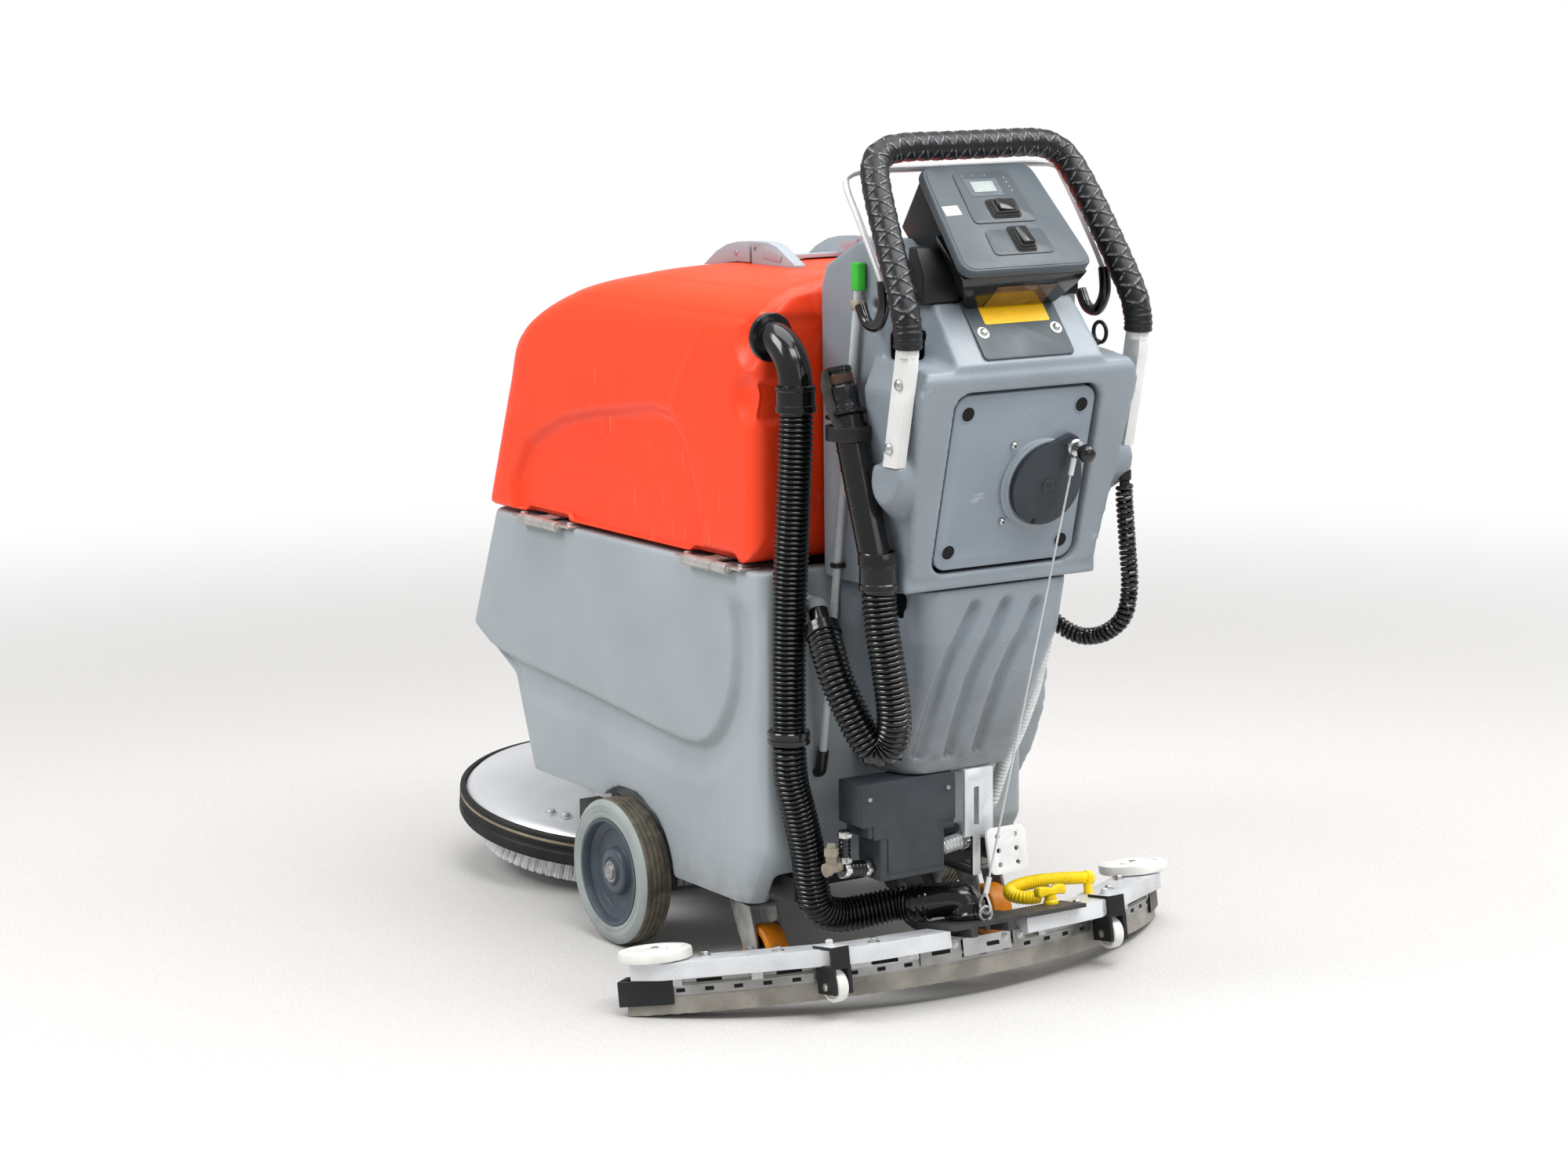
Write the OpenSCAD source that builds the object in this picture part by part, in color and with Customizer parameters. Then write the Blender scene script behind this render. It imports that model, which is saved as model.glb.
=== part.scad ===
// Walk-behind wet dry floor scrubber with one disc brush, a curved rear squeegee,
// a grey solution tank and a tipping recovery tank. +X is the operator's right, +Y is forward.
// Inner coordinates are taken from the main axle; place() moves them to the middle of the footprint.

/* [Wheels] */
// Diameter of the two main wheels
wheel_d = 200; // [190:1:204]
// Width of a main wheel's tyre
wheel_w = 46; // [40:1:50]
// Distance over the outer faces of the main wheels
wheel_span = 544; // [536:1:560]
// Diameter of the rear swivel casters' wheels
caster_d = 70; // [60:1:74]

/* [Tanks] */
// Width of the solution tank and the recovery tank
body_w = 480; // [472:1:484]
// Wall of the moulded tanks' sides
tank_wall = 8; // [6:0.5:10]

/* [Brush deck] */
// Outer diameter of the deck's bumper ring
deck_d = 510; // [500:1:514]
// Diameter of the brush over its bristles
brush_d = 448; // [430:1:452]
// Angle that the raised deck stands at
deck_lift = 7; // [0:0.5:7]

/* [Squeegee] */
// Radius of the curve that the rear blade follows
squeegee_r = 582; // [576:1:588]
// Angle that the raised squeegee stands at
squeegee_lift = 8.5; // [0:0.5:8.5]
// Diameter of the bumper discs at the squeegee's ends
bumper_d = 94; // [90:1:104]

/* [Handle and hoses] */
// Outer diameter of the wrapped grip
grip_d = 36; // [32:1:38]
// Outer diameter of the suction hose and the drain hose
hose_d = 45; // [42:1:46]
// Outer diameter of the coiled cable
coil_d = 22; // [18:1:24]
// Outer diameter of the clear hose with the wire helix
clear_d = 20; // [16:1:22]

/* [Hidden] */
$fn = 48;
// The main axle's place behind the middle of the footprint
axle_y = -17.14;
wheel_r = wheel_d / 2;
half_w = body_w / 2;
wheel_x = wheel_span / 2 - wheel_w / 2;
// Radial clearance of a shaft in its bore
fit = 0.05;
axle_d = 20;
tyre_depth = 26;
// Diameter of the pins that the arms, the casters and the bail turn on
pin_d = 12;
// Brush deck's centre
deck_y = 396;
// Pivots, as [y, z] from the axle's line on the floor
deck_pivot = [150, 110];
squeegee_pivot = [-310, 140];
// Rear caster's swivel axis and its wheel's trail
caster_x = 180;
caster_y = -225;
caster_trail = 28;
// Tank hinge line on the left side
hinge_x = -246;
hinge_z = 549;
hinge_ys = [214, -228];
hinge_len = 106;
hinge_pin_d = 6;
// Door plane: a point on it, and its lean from upright
door_at = [-557, 675];
door_lean = 14;
// Lift disc's centre on the door, and its crank
disc_x = 43;
disc_up = -9;
crank_r = 58;
crank_angle = 62;
// Thimble at the lower end of the wire rope
thimble_at = [0, -492.6, 119.2];
// Control panel's middle and slope
panel_at = [-532, 996];
panel_slope = 46;
upper_switch_at = [5, 9];
lower_switch_at = [8, -40];
// Squeegee blade centre
blade_cy = 110;
blade_end = 46.5;
// Lid hinge on the recovery tank, as [y, z]
lid_pivot = [-104, 936];
// Pedal pivot and bail pivot, as [y, z]
pedal_pivot = [-350, 165];
bail_pivot = [-470, 892];
// Hose routes, from the upper end to the lower end
upper_hose_route = [[-214, -393, 756.5], [-214, -393, 735], [-215, -391, 690], [-216, -386, 615],
    [-217, -379, 530], [-218, -375, 440], [-218, -374, 375], [-218, -374, 354]];
lower_hose_route = [[-218, -374, 336], [-218, -374, 320], [-213, -371, 285], [-200, -369, 240],
    [-186, -365, 190], [-177, -360, 145], [-165, -357, 112], [-134, -359, 98], [-96, -370, 101],
    [-65, -387, 107.8], [-50.4, -403, 110.4]];
drain_route = [[-173, -513, 546], [-173, -513, 530], [-170, -516, 490], [-162, -517, 440],
    [-153, -514, 384], [-151, -503, 352], [-163, -489, 340], [-177, -478, 362], [-190, -466, 398],
    [-197, -452, 430], [-197, -437, 456], [-193, -420, 478]];
cable_route = [[176, -551, 650], [176, -551, 632], [182, -550, 572], [184, -552, 522], [180, -546, 482],
    [170, -522, 458], [158, -494, 450], [146, -474, 456], [133, -462, 468]];
helix_route = [[150, -348, 504], [149, -372, 506], [144, -408, 498], [136, -438, 474], [127, -450, 440],
    [121, -446, 410], [120, -434, 374], [116, -409, 320], [112, -385, 278], [108, -370, 240],
    [105, -362, 218], [104, -348, 206]];

// ---- Shapes that repeat ----

module place() { translate([0, axle_y, 0]) children(); }

// Extrudes a side outline, drawn as (y, z), from x0 to x1
module slab(x0, x1) { translate([x0, 0, 0]) rotate([90, 0, 90]) linear_extrude(x1 - x0) children(); }

// Extrudes a rear outline, drawn as (x, z), from y0 to y1
module wall(y0, y1) { translate([0, y1, 0]) rotate([90, 0, 0]) linear_extrude(y1 - y0) children(); }

module both() {
    children();
    mirror([1, 0, 0]) children();
}

module rod(a, b, d) {
    v = b - a;
    translate(a) rotate([0, acos(v[2] / norm(v)), atan2(v[1], v[0])]) cylinder(d = d, h = norm(v));
}

module rounded(w, h, r) {
    square([w - 2 * r, h], center = true);
    square([w, h - 2 * r], center = true);
    for (x = [-1, 1], y = [-1, 1]) translate([x * (w / 2 - r), y * (h / 2 - r)]) circle(r = r);
}

// Thin level slice of a tank: [z, half width, rear y, front y, front radius, rear radius]
module slice(v) {
    r = v[4];
    q = v[5];
    translate([0, 0, v[0]]) linear_extrude(0.5) for (s = [-1, 1]) {
        translate([s * (v[1] - r), v[3] - r]) circle(r = r, $fn = 32);
        translate([s * (v[1] - q), v[2] + q]) circle(r = q, $fn = 24);
    }
}

// Tank body between two such slices
module band(low, high) {
    hull() {
        slice(low);
        slice(high);
    }
}

// A tube that follows a list of points, swept as one closed solid
function unit(v) = v / norm(v);
function spline(a, b, c, d, t) = 0.5 * (2 * b + (c - a) * t + (2 * a - 5 * b + 4 * c - d) * t * t
    + (3 * b - a - 3 * c + d) * t * t * t);
function fine(p, k) = [for (i = [0:len(p) - 2], j = [0:k - 1])
    spline(p[max(i - 1, 0)], p[i], p[i + 1], p[min(i + 2, len(p) - 1)], j / k), p[len(p) - 1]];
function tangent(p, i) = unit(p[min(i + 1, len(p) - 1)] - p[max(i - 1, 0)]);
function square_to(t, n) = unit(n - (n * t) * t);
function sides(p, i, n) = i >= len(p) ? []
    : let (m = square_to(tangent(p, i), n)) concat([m], sides(p, i + 1, m));
module sweep(route, d, k = 1, edges = 10, start = [1, 0, 0]) {
    p = fine(route, k);
    s = sides(p, 0, start);
    rings = [for (i = [0:len(p) - 1], j = [0:edges - 1])
        let (a = 360 * j / edges, t = tangent(p, i))
        p[i] + d / 2 * (cos(a) * s[i] + sin(a) * cross(t, s[i]))];
    skin = [for (i = [0:len(p) - 2], j = [0:edges - 1], h = [0, 1])
        let (q = i * edges, a = q + j, b = q + (j + 1) % edges)
        h == 0 ? [a, a + edges, b] : [b, a + edges, b + edges]];
    polyhedron(rings, concat([[for (j = [0:edges - 1]) j]], skin,
        [[for (j = [edges - 1:-1:0]) (len(p) - 1) * edges + j]]));
}

// Puts a piece that is drawn level into the raised squeegee's pose
module squeegee_pose() {
    translate([0, squeegee_pivot[0], squeegee_pivot[1]]) rotate([-squeegee_lift, 0, 0])
        translate([0, -squeegee_pivot[0], -squeegee_pivot[1]]) children();
}

// Puts a piece that is drawn level into the raised deck's pose
module deck_pose() {
    translate([0, deck_pivot[0], deck_pivot[1]]) rotate([deck_lift, 0, 0])
        translate([0, -deck_pivot[0], -deck_pivot[1]]) children();
}

// Puts a piece on the door: local X right, Y up the door, Z out of it
module on_door() { translate([0, door_at[0], door_at[1]]) rotate([90 + door_lean, 0, 0]) children(); }

// Puts a piece on the panel: local X right, Y up the slope, Z out of it
module on_panel() { translate([0, panel_at[0], panel_at[1]]) rotate([panel_slope, 0, 0]) children(); }

// Puts a piece on the head's slope: local X right, Y up the slope, Z out of it
module on_head() { translate([0, -561.4, 861]) rotate([51.53, 0, 0]) children(); }

// ---- Chassis ----

module chassis_frame() {
    rail_x = 168;
    color("dimgray") place() {
        both() {
            // rail
            translate([rail_x - 16, -330, 116]) cube([32, 560, 30]);
            // axle plate
            translate([rail_x + 15, -36, 70]) cube([9, 72, 76]);
            // caster plate with the bore for the kingpin
            difference() {
                translate([caster_x - 24, caster_y - 30, 110]) cube([48, 60, 8]);
                translate([caster_x, caster_y, 100]) cylinder(d = pin_d + 2 * fit, h = 15);
            }
            // deck lug
            difference() {
                slab(100, 110) polygon([[135, 92], [170, 92], [168, 150], [136, 150]]);
                translate([95, deck_pivot[0], deck_pivot[1]]) rotate([0, 90, 0])
                    cylinder(d = pin_d + 2 * fit, h = 20);
            }
            // squeegee lug
            difference() {
                slab(35, 43) polygon([[-324, 126], [-268, 120], [-268, 142], [-300, 158], [-324, 154]]);
                translate([30, squeegee_pivot[0], squeegee_pivot[1]]) rotate([0, 90, 0])
                    cylinder(d = pin_d + 2 * fit, h = 20);
            }
        }
        // cross members
        translate([16 - rail_x, -290, 120]) cube([2 * rail_x - 32, 24, 22]);
        translate([16 - rail_x, -120, 120]) cube([2 * rail_x - 32, 24, 22]);
        translate([-rail_x, 136, 145]) cube([2 * rail_x, 30, 20]);
        // pedal lug
        difference() {
            slab(55, 63) polygon([[-362, 156], [-268, 124], [-268, 142], [-340, 176], [-362, 176]]);
            translate([50, pedal_pivot[0], pedal_pivot[1]]) rotate([0, 90, 0])
                cylinder(d = 10 + 2 * fit, h = 20);
        }
        // slotted bracket at the rear, on a strip from the cross member
        difference() {
            translate([-2, -452, 200]) cube([44, 5, 88]);
            translate([12, -455, 214]) cube([8, 12, 50]);
        }
        translate([-2, -452, 283]) cube([44, 30, 5]);
        translate([10, -452, 148]) cube([12, 5, 60]);
        translate([10, -452, 148]) cube([12, 172, 5]);
        translate([10, -285, 138]) cube([12, 5, 15]);
        // main axle
        translate([-wheel_span / 2 + 6, 0, wheel_r]) rotate([0, 90, 0])
            cylinder(d = axle_d, h = wheel_span - 12);
    }
}

module solution_tank() {
    rear = -346;
    well = 158;
    color([0.68, 0.72, 0.75]) place() difference() {
        union() {
            band([376, half_w, rear, 472, 60, 24], [549, half_w - 2, rear, 398, 60, 24]);
            band([318, half_w, rear + 2, 352, 60, 24], [376, half_w, rear, 472, 60, 24]);
            band([190, half_w, rear + 6, 290, 40, 24], [318, half_w, rear + 2, 352, 60, 24]);
            band([112, half_w - 4, -300, -48, 24, 24], [190, half_w, rear + 6, 60, 24, 24]);
            // outlet that the drain hose is pushed on
            rod([-192.8, -419, 479], [-190.6, -411.5, 487.6], 40);
            rod([-190.6, -411.5, 487.6], [-180, -385, 508], 24);
            translate([-180, -385, 508]) sphere(d = 28);
            rod([-180, -385, 508], [-180, -343, 510], 24);
        }
        // room for the deck and its motor, and for the frame
        translate([-196, 45, 0]) cube([392, 600, 300]);
        translate([-205, -500, 0]) cube([410, 700, 152]);
        translate([-75, -500, 100]) cube([150, 222, 86]);
        both() translate([wheel_x - wheel_w / 2 - 10, 0, wheel_r]) rotate([0, 90, 0])
            cylinder(r = wheel_r + 12, h = 100);
        // battery well, open at the top
        translate([-well, -308, 210]) cube([2 * well, 340, 400]);
        // water space in the front and in both cheeks
        translate([-half_w + 12, 48, 326]) cube([body_w - 24, 276, 216]);
        side = half_w - well - 2 * tank_wall;
        translate([-half_w + tank_wall, -330, 230]) cube([side, 370, 310]);
        translate([well + tank_wall, -240, 280]) cube([side, 280, 260]);
        // the right cheek is cut back behind, where the clear hose runs
        slab(well + 10, 300) polygon([[-400, 520], [-330, 470], [-316, 427], [-302, 318],
            [-276, 258], [-226, 190], [-176, 146], [-176, 60], [-400, 60]]);
    }
}

module rear_tank() {
    color([0.60, 0.64, 0.67]) place() difference() {
        union() {
            rear_band([470, 114, -516, 34, 118], [537, 118, -524, 30, 118]);
            rear_band([400, 100, -492, 36, 106], [470, 114, -516, 34, 118]);
            rear_band([288, 84, -446, 30, 92], [400, 100, -492, 36, 106]);
        }
        hull() {
            translate([-120, -490, 530]) cube([240, 130, 1]);
            translate([-84, -430, 300]) cube([168, 70, 1]);
        }
        // slanted ribs pressed into the rear face
        for (x = [-62, -22, 18]) translate([x, -525, 500]) rotate([-16, 22, 0])
            translate([0, 0, -100]) cylinder(d = 16, h = 84);
    }
}

// Thin level slice of the rear tank: [z, half width at the rear, rear y, rear radius, half width in front]
module rear_slice(v) {
    translate([0, 0, v[0]]) linear_extrude(0.5) for (s = [-1, 1]) {
        translate([s * (v[1] - v[3]), v[2] + v[3]]) circle(r = v[3], $fn = 24);
        translate([s * v[4], -357]) circle(r = 8, $fn = 16);
    }
}

module rear_band(low, high) {
    hull() {
        rear_slice(low);
        rear_slice(high);
    }
}

module rear_housing() {
    color([0.62, 0.66, 0.69]) place() difference() {
        union() {
            // tower behind the recovery tank
            slab(-147, 147) polygon([[-348, 540], [-348, 905], [-360, 934], [-434, 968], [-458, 968],
                [-486, 942], [-492, 826], [-530, 826], [-530, 540]]);
            // door box, leaning out towards the top
            intersection() {
                slab(-170, 170) polygon([[-470, 541], [-524, 541], [-534, 560], [-596, 806], [-590, 818],
                    [-540, 826], [-470, 826]]);
                wall(-610, -460) polygon([[-128, 541], [128, 541], [142, 566], [166, 790], [150, 826],
                    [-150, 826], [-166, 790], [-142, 566]]);
            }
            // sloping head under the console
            intersection() {
                slab(-118, 118) polygon([[-470, 820], [-594, 820], [-536, 893], [-470, 893]]);
                wall(-610, -460) polygon([[-112, 820], [112, 820], [104, 893], [-104, 893]]);
            }
            // ears that the handle's arms end in
            both() hull() {
                translate([146, -536, 688]) rotate([0, 90, 0]) cylinder(r = 30, h = 33);
                translate([120, -508, 636]) rotate([0, 90, 0]) cylinder(r = 16, h = 20);
            }
        }
        // motor space, door opening and the recess round it
        translate([-136, -520, 560]) cube([272, 160, 300]);
        on_door() translate([0, 0, -22]) linear_extrude(40) rounded(222, 238, 24);
        on_door() translate([0, 0, -60]) linear_extrude(60) rounded(180, 196, 16);
        // bores for the bail's pins
        rod([-170, bail_pivot[0], bail_pivot[1]], [-126, bail_pivot[0], bail_pivot[1]], pin_d + 2 * fit);
        rod([126, bail_pivot[0], bail_pivot[1]], [170, bail_pivot[0], bail_pivot[1]], pin_d + 2 * fit);
        // flats that the handle's arms lie in
        both() translate([166.5, -605, 702]) cube([40, 110, 130]);
    }
}

module access_door() {
    color([0.58, 0.63, 0.67]) place() difference() {
        union() {
            on_door() translate([0, 0, -22]) linear_extrude(22) rounded(212, 228, 20);
            on_door() translate([disc_x - 7, disc_up, -1]) cylinder(r = 58, h = 5);
        }
        for (x = [-86, 86], y = [-90, 90]) on_door() translate([x, y, -8]) cylinder(d = 13, h = 20);
        on_door() translate([disc_x, disc_up, -16]) cylinder(d = 10 + 2 * fit, h = 40);
    }
}

module button_screw(d) {
    cylinder(d = d, h = 3);
    translate([0, 0, 3]) cylinder(d1 = d, d2 = d * 0.6, h = 2);
}

module screws() {
    color("silver") place() {
        for (x = [-86, 86], y = [-90, 90]) on_door() translate([x, y, -8]) cylinder(d = 9, h = 4);
        on_door() translate([-10, 44, 0]) button_screw(9);
        on_door() translate([-11, -56, 0]) button_screw(9);
        both() for (p = [[-571, 804], [-549, 725]])
            translate([181, p[0], p[1]]) rotate([0, 90, 0]) button_screw(14);
        for (x = [-55, 55]) on_head() translate([x, -6, 3.1]) button_screw(10);
    }
}

module console_neck() {
    color([0.16, 0.17, 0.18]) place() {
        // black base over the head
        slab(-108, 108) polygon([[-532, 893.5], [-497, 893.5], [-497, 930], [-500, 962],
            [-516, 962], [-532, 930]]);
        both() slab(84, 92) polygon([[-516, 961.5], [-500, 961.5], [-486, 960], [-458, 970],
            [-448, 980], [-490, 1015], [-517, 989]]);
        slab(-56, 56) polygon([[-532, 900], [-580, 902], [-583, 921], [-500, 1007], [-480, 1000],
            [-480, 960]]);
        // front plate on the head's slope
        on_head() translate([0, 0, 0.1]) linear_extrude(3) rounded(136, 88, 6);
    }
}

module control_panel() {
    color([0.33, 0.37, 0.40]) place() difference() {
        on_panel() translate([0, 0, -14]) linear_extrude(14) polygon([[-74, 85], [74, 85], [84, 75],
            [98, -72], [86, -85], [-86, -85], [-98, -72], [-84, 75]]);
        for (p = [upper_switch_at, lower_switch_at]) on_panel() translate([p[0], p[1], 0])
            cube([22, 22, 40], center = true);
        // bores for the rockers' pins
        on_panel() translate([upper_switch_at[0], upper_switch_at[1], -4]) rotate([90, 0, 0])
            cylinder(d = 3 + 2 * fit, h = 32, center = true);
        on_panel() translate([lower_switch_at[0], lower_switch_at[1], -4]) rotate([0, 90, 0])
            cylinder(d = 3 + 2 * fit, h = 32, center = true);
    }
}

module upper_switch() {
    color([0.08, 0.08, 0.09]) place() on_panel() translate(upper_switch_at) rotate([0, 0, 90]) rocker_body();
}

module lower_switch() {
    color([0.08, 0.08, 0.09]) place() on_panel() translate(lower_switch_at) rocker_body();
}

// Rocker cap, drawn round its pivot
module rocker_body() {
    rotate([90, 0, 90]) translate([0, 0, -8]) linear_extrude(16)
        polygon([[-8, -9], [8, -9], [9.5, 6], [0, 4], [-9.5, 9]]);
    rod([-15, 0, -4], [15, 0, -4], 3);
}

module handle_frame() {
    color([0.86, 0.87, 0.88]) place() {
        both() {
            slab(167, 181) polygon([[-534, 702], [-562, 702], [-590, 822], [-592, 846], [-564, 846],
                [-560, 822]]);
        }
        loop_tube(grip_d - 9);
    }
}

// The handle's loop: a curved side from each arm's top, and the straight top bar
module loop_tube(d) {
    half = [[174, -579, 838], [174, -579, 866], [172, -568, 900], [164, -526, 970], [154, -487, 1032],
        [143, -468, 1062], [122, -461, 1076], [92, -460, 1080]];
    both() sweep(half, d, 2, 12);
    rod([-93, -460, 1080], [93, -460, 1080], d);
}

module handle_grip() {
    color([0.10, 0.10, 0.11]) place() difference() {
        loop_tube(grip_d);
        loop_tube(grip_d - 8.6);
        translate([-300, -700, 700]) cube([600, 300, 147]);
    }
}

module batteries() {
    color([0.15, 0.15, 0.17]) place() for (y = [-302, -134]) {
        translate([-150, y, 210]) cube([300, 160, 190]);
        for (x = [-120, 110]) translate([x, y + 70, 400]) cylinder(d = 16, h = 12);
    }
}

module suction_motor() {
    color([0.25, 0.26, 0.28]) place() {
        translate([0, -440, 640]) cylinder(d = 140, h = 110);
        translate([0, -440, 750]) cylinder(d = 96, h = 50);
        translate([0, -440, 560]) cylinder(d = 60, h = 80);
    }
}

module valve_box() {
    color([0.24, 0.26, 0.28]) place() wall(-446, -394) polygon([[-158, 287], [-158, 232], [-146, 232],
        [-146, 216], [-128, 216], [-128, 158], [-30, 158], [-30, 214], [-14, 214], [-14, 287]]);
}

module level_gauge() {
    color([0.85, 0.90, 0.88]) place() {
        rod([-155, -446, 912], [-155, -353, 292], 10);
        translate([-162, -455, 908]) cube([14, 18, 34]);
        // clips that hold the tube off the housing
        translate([-162, -452, 884]) cube([15, 17, 12]);
        translate([-162, -403, 557]) cube([15, 19, 6]);
    }
}

// Straight drain neck's axis, from its free end to its lower end
drain_top = [-182, -438, 815];
drain_foot = [-173, -508, 574];
function along_drain(t) = drain_top + t * unit(drain_foot - drain_top);

module hose_clip() {
    color([0.09, 0.09, 0.10]) place() difference() {
        union() {
            translate([-180, -460, 727]) cylinder(d = 58, h = 18);
            translate([-172, -469, 727]) cube([25, 24, 18]);
        }
        rod(along_drain(20), drain_foot, 42);
        // cut back where it passes the door box's side
        translate([-162, -600, 700]) cube([40, 130, 60]);
    }
}

module drain_nozzle() {
    color([0.11, 0.11, 0.12]) place() {
        rod(along_drain(25), drain_foot, 40);
        translate([-173, -511, 546.5]) cylinder(d = 50, h = 48);
        rod(drain_top, along_drain(30), 34);
        // clamping lever along the side
        rod([-197.4, -453.4, 783], [-193.8, -462, 755], 14);
    }
}

module hose_coupling() {
    color([0.08, 0.08, 0.09]) place() translate([-218, -374, 336.5])
    cylinder(d = hose_d + 9, h = 17);
}

module drain_hose() { color([0.09, 0.09, 0.10]) place() sweep(drain_route, hose_d - 1, 1, 10); }

module suction_hose_upper() {
    color([0.09, 0.09, 0.10]) place() sweep(upper_hose_route, hose_d, 1, 10);
}

module suction_hose_lower() {
    color([0.09, 0.09, 0.10]) place() sweep(lower_hose_route, hose_d, 1, 10);
}

module coiled_cable() { color([0.08, 0.08, 0.09]) place() sweep(cable_route, coil_d, 1, 8); }

module clear_hoses() {
    color([0.75, 0.78, 0.80]) place() {
        sweep(helix_route, clear_d, 1, 8);
        // stub hoses between the valve and the fittings
        rod([-129.6, -420, 172], [-172, -420, 176], 22);
        rod([-28.4, -420, 182], [22, -420, 188], 22);
        rod([-166, -420, 183], [-166, -420, 226], 16);
    }
}

module hinge_barrel(y, from, to) {
    translate([hinge_x, y + from, hinge_z]) rotate([-90, 0, 0]) cylinder(d = 15, h = to - from);
}

module hinge_leaves() {
    half = hinge_len / 2;
    color("silver") place() for (y = hinge_ys) {
        for (s = [[-half, -17], [17, half]]) hinge_barrel(y, s[0], s[1]);
        translate([hinge_x, y - half - 2, hinge_z]) rotate([-90, 0, 0])
            cylinder(d = hinge_pin_d, h = hinge_len + 4);
        // leaves on the tank's rim, each with its bolt
        for (s = [-1, 1]) {
            translate([hinge_x, y + s * 49 - 31, 549.6]) cube([30, 62, 2.4]);
            translate([hinge_x + 12, y + s * 66, 551.9]) cylinder(d = 11, h = 4.2, $fn = 6);
        }
    }
}

// ---- Recovery tank ----

module recovery_tank() {
    rear = -334;
    color([0.95, 0.30, 0.14]) place() difference() {
        union() {
            band([557, half_w, rear, 414, 60, 24], [722, half_w - 2, rear, 352, 60, 24]);
            band([722, half_w - 2, rear, 352, 60, 24], [806, half_w - 5, rear, 318, 66, 24]);
            band([806, half_w - 5, rear, 318, 66, 24], [866, half_w - 18, rear, 208, 80, 24]);
            band([866, half_w - 18, rear, 208, 80, 24], [898, half_w - 56, rear + 6, 84, 90, 24]);
            band([898, half_w - 56, rear + 6, 84, 90, 24], [916, 112, rear + 20, -60, 44, 24]);
        }
        // inside space
        hull() {
            translate([-half_w + 12, rear + 8, 566]) cube([body_w - 24, 690, 1]);
            translate([-half_w + 30, rear + 8, 800]) cube([body_w - 60, 580, 1]);
        }
        hull() {
            translate([-half_w + 30, rear + 8, 799]) cube([body_w - 60, 580, 1]);
            translate([-130, rear + 20, 886]) cube([260, 270, 1]);
        }
        // finger recesses on the rear corners
        both() for (p = [[44, 766], [34, 848]]) translate([half_w + p[0], rear + 18, p[1]]) sphere(r = 60);
        // filling opening under the lid, and the hinge recesses
        translate([0, -24, 870]) cylinder(d = 92, h = 80);
        for (y = hinge_ys) translate([hinge_x - 12, y - 60, 540]) cube([34, 120, 26]);
    }
}

module hinge_straps() {
    color("silver") place() for (y = hinge_ys) difference() {
        union() {
            hinge_barrel(y, -16.4, 16.4);
            translate([hinge_x, y - 16, 554]) cube([36, 32, 2.4]);
            translate([-224, y - 16, 556.3]) cube([14, 32, 0.7]);
        }
        translate([hinge_x, y - 60, hinge_z]) rotate([-90, 0, 0])
            cylinder(d = hinge_pin_d + 2 * fit, h = 120);
    }
}

module tank_elbow() {
    bend = 56;
    at = [-214, -334, 846];
    color([0.06, 0.06, 0.07]) place() translate(at) {
        rotate([90, 0, 0]) cylinder(d = 62, h = 12);
        translate([0, -3, -bend]) rotate([90, 0, 90]) rotate([0, 0, 90])
            rotate_extrude(angle = 90) translate([bend, 0]) circle(d = hose_d - 3);
        translate([0, -3 - bend, 757 - at[2]]) cylinder(d = hose_d + 6, h = at[2] - bend - 756);
    }
}

module lid_hinge_base() {
    color([0.66, 0.70, 0.73]) place() both() difference() {
        slab(72, 88) polygon([[-200, 916.6], [-200, 920], [-178, 932], [-156, 942], [-136, 946],
            [-96, 946], [-96, 916.6]]);
        translate([70, lid_pivot[0], lid_pivot[1]]) rotate([0, 90, 0]) cylinder(d = 6 + 2 * fit, h = 30);
    }
}

module tank_lid() {
    color([0.66, 0.70, 0.73]) place() {
        // half-round sides, ears on the hinge pins, and the plate over the opening
        both() slab(72, 88) polygon([[-90, 918], [-90, 945.5], [-62, 944], [-34, 939], [-6, 928],
            [16, 915], [26, 908.5], [-62, 918]]);
        both() slab(60, 71) polygon([[-110, 930], [-110, 942], [-60, 936], [-60, 919], [-84, 919]]);
        both() rod([62, lid_pivot[0], lid_pivot[1]], [86, lid_pivot[0], lid_pivot[1]], 6);
        slab(-73, 73) polygon([[-88, 919], [-88, 924], [-60, 923], [24, 913], [24, 909], [-60, 918.4]]);
    }
}

// ---- Bail ----

module bail() {
    half = [[168, -470, 892], [168, -484, 872], [168, -505, 870], [168, -520, 892], [168, -518, 920],
        [167, -470, 990], [165, -437, 1034], [156, -433, 1048], [124, -435, 1052]];
    route = concat(half, [for (i = [len(half) - 1:-1:0]) [-half[i][0], half[i][1], half[i][2]]]);
    color("silver") place() {
        sweep(route, 8, 2, 8);
        both() rod([128, bail_pivot[0], bail_pivot[1]], [172, bail_pivot[0], bail_pivot[1]], pin_d);
    }
}

// ---- Wheels ----

module tyre() {
    rotate([0, 90, 0]) rotate_extrude($fn = 96) {
        translate([wheel_r - tyre_depth, -wheel_w / 2]) square([tyre_depth - 6, wheel_w]);
        translate([wheel_r - 8, -wheel_w / 2 + 6]) square([8, wheel_w - 12]);
        for (s = [-1, 1]) translate([wheel_r - 6, s * (wheel_w / 2 - 6)]) circle(r = 6);
    }
}

module hub() {
    rim = wheel_r - tyre_depth;
    rotate([0, 90, 0]) rotate_extrude($fn = 96) {
        translate([rim - 6, -wheel_w / 2 + 1]) square([6, wheel_w - 2]);
        translate([20, -5]) square([rim - 24, 10]);
        translate([axle_d / 2 + fit, -wheel_w / 2 + 2]) square([16, wheel_w - 8]);
    }
}

module left_tyre() {
    color([0.62, 0.67, 0.65]) place() translate([-wheel_x, 0, wheel_r]) tyre();
}

module left_hub() {
    color([0.25, 0.29, 0.33]) place() translate([-wheel_x, 0, wheel_r]) mirror([1, 0, 0]) hub();
}

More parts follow.
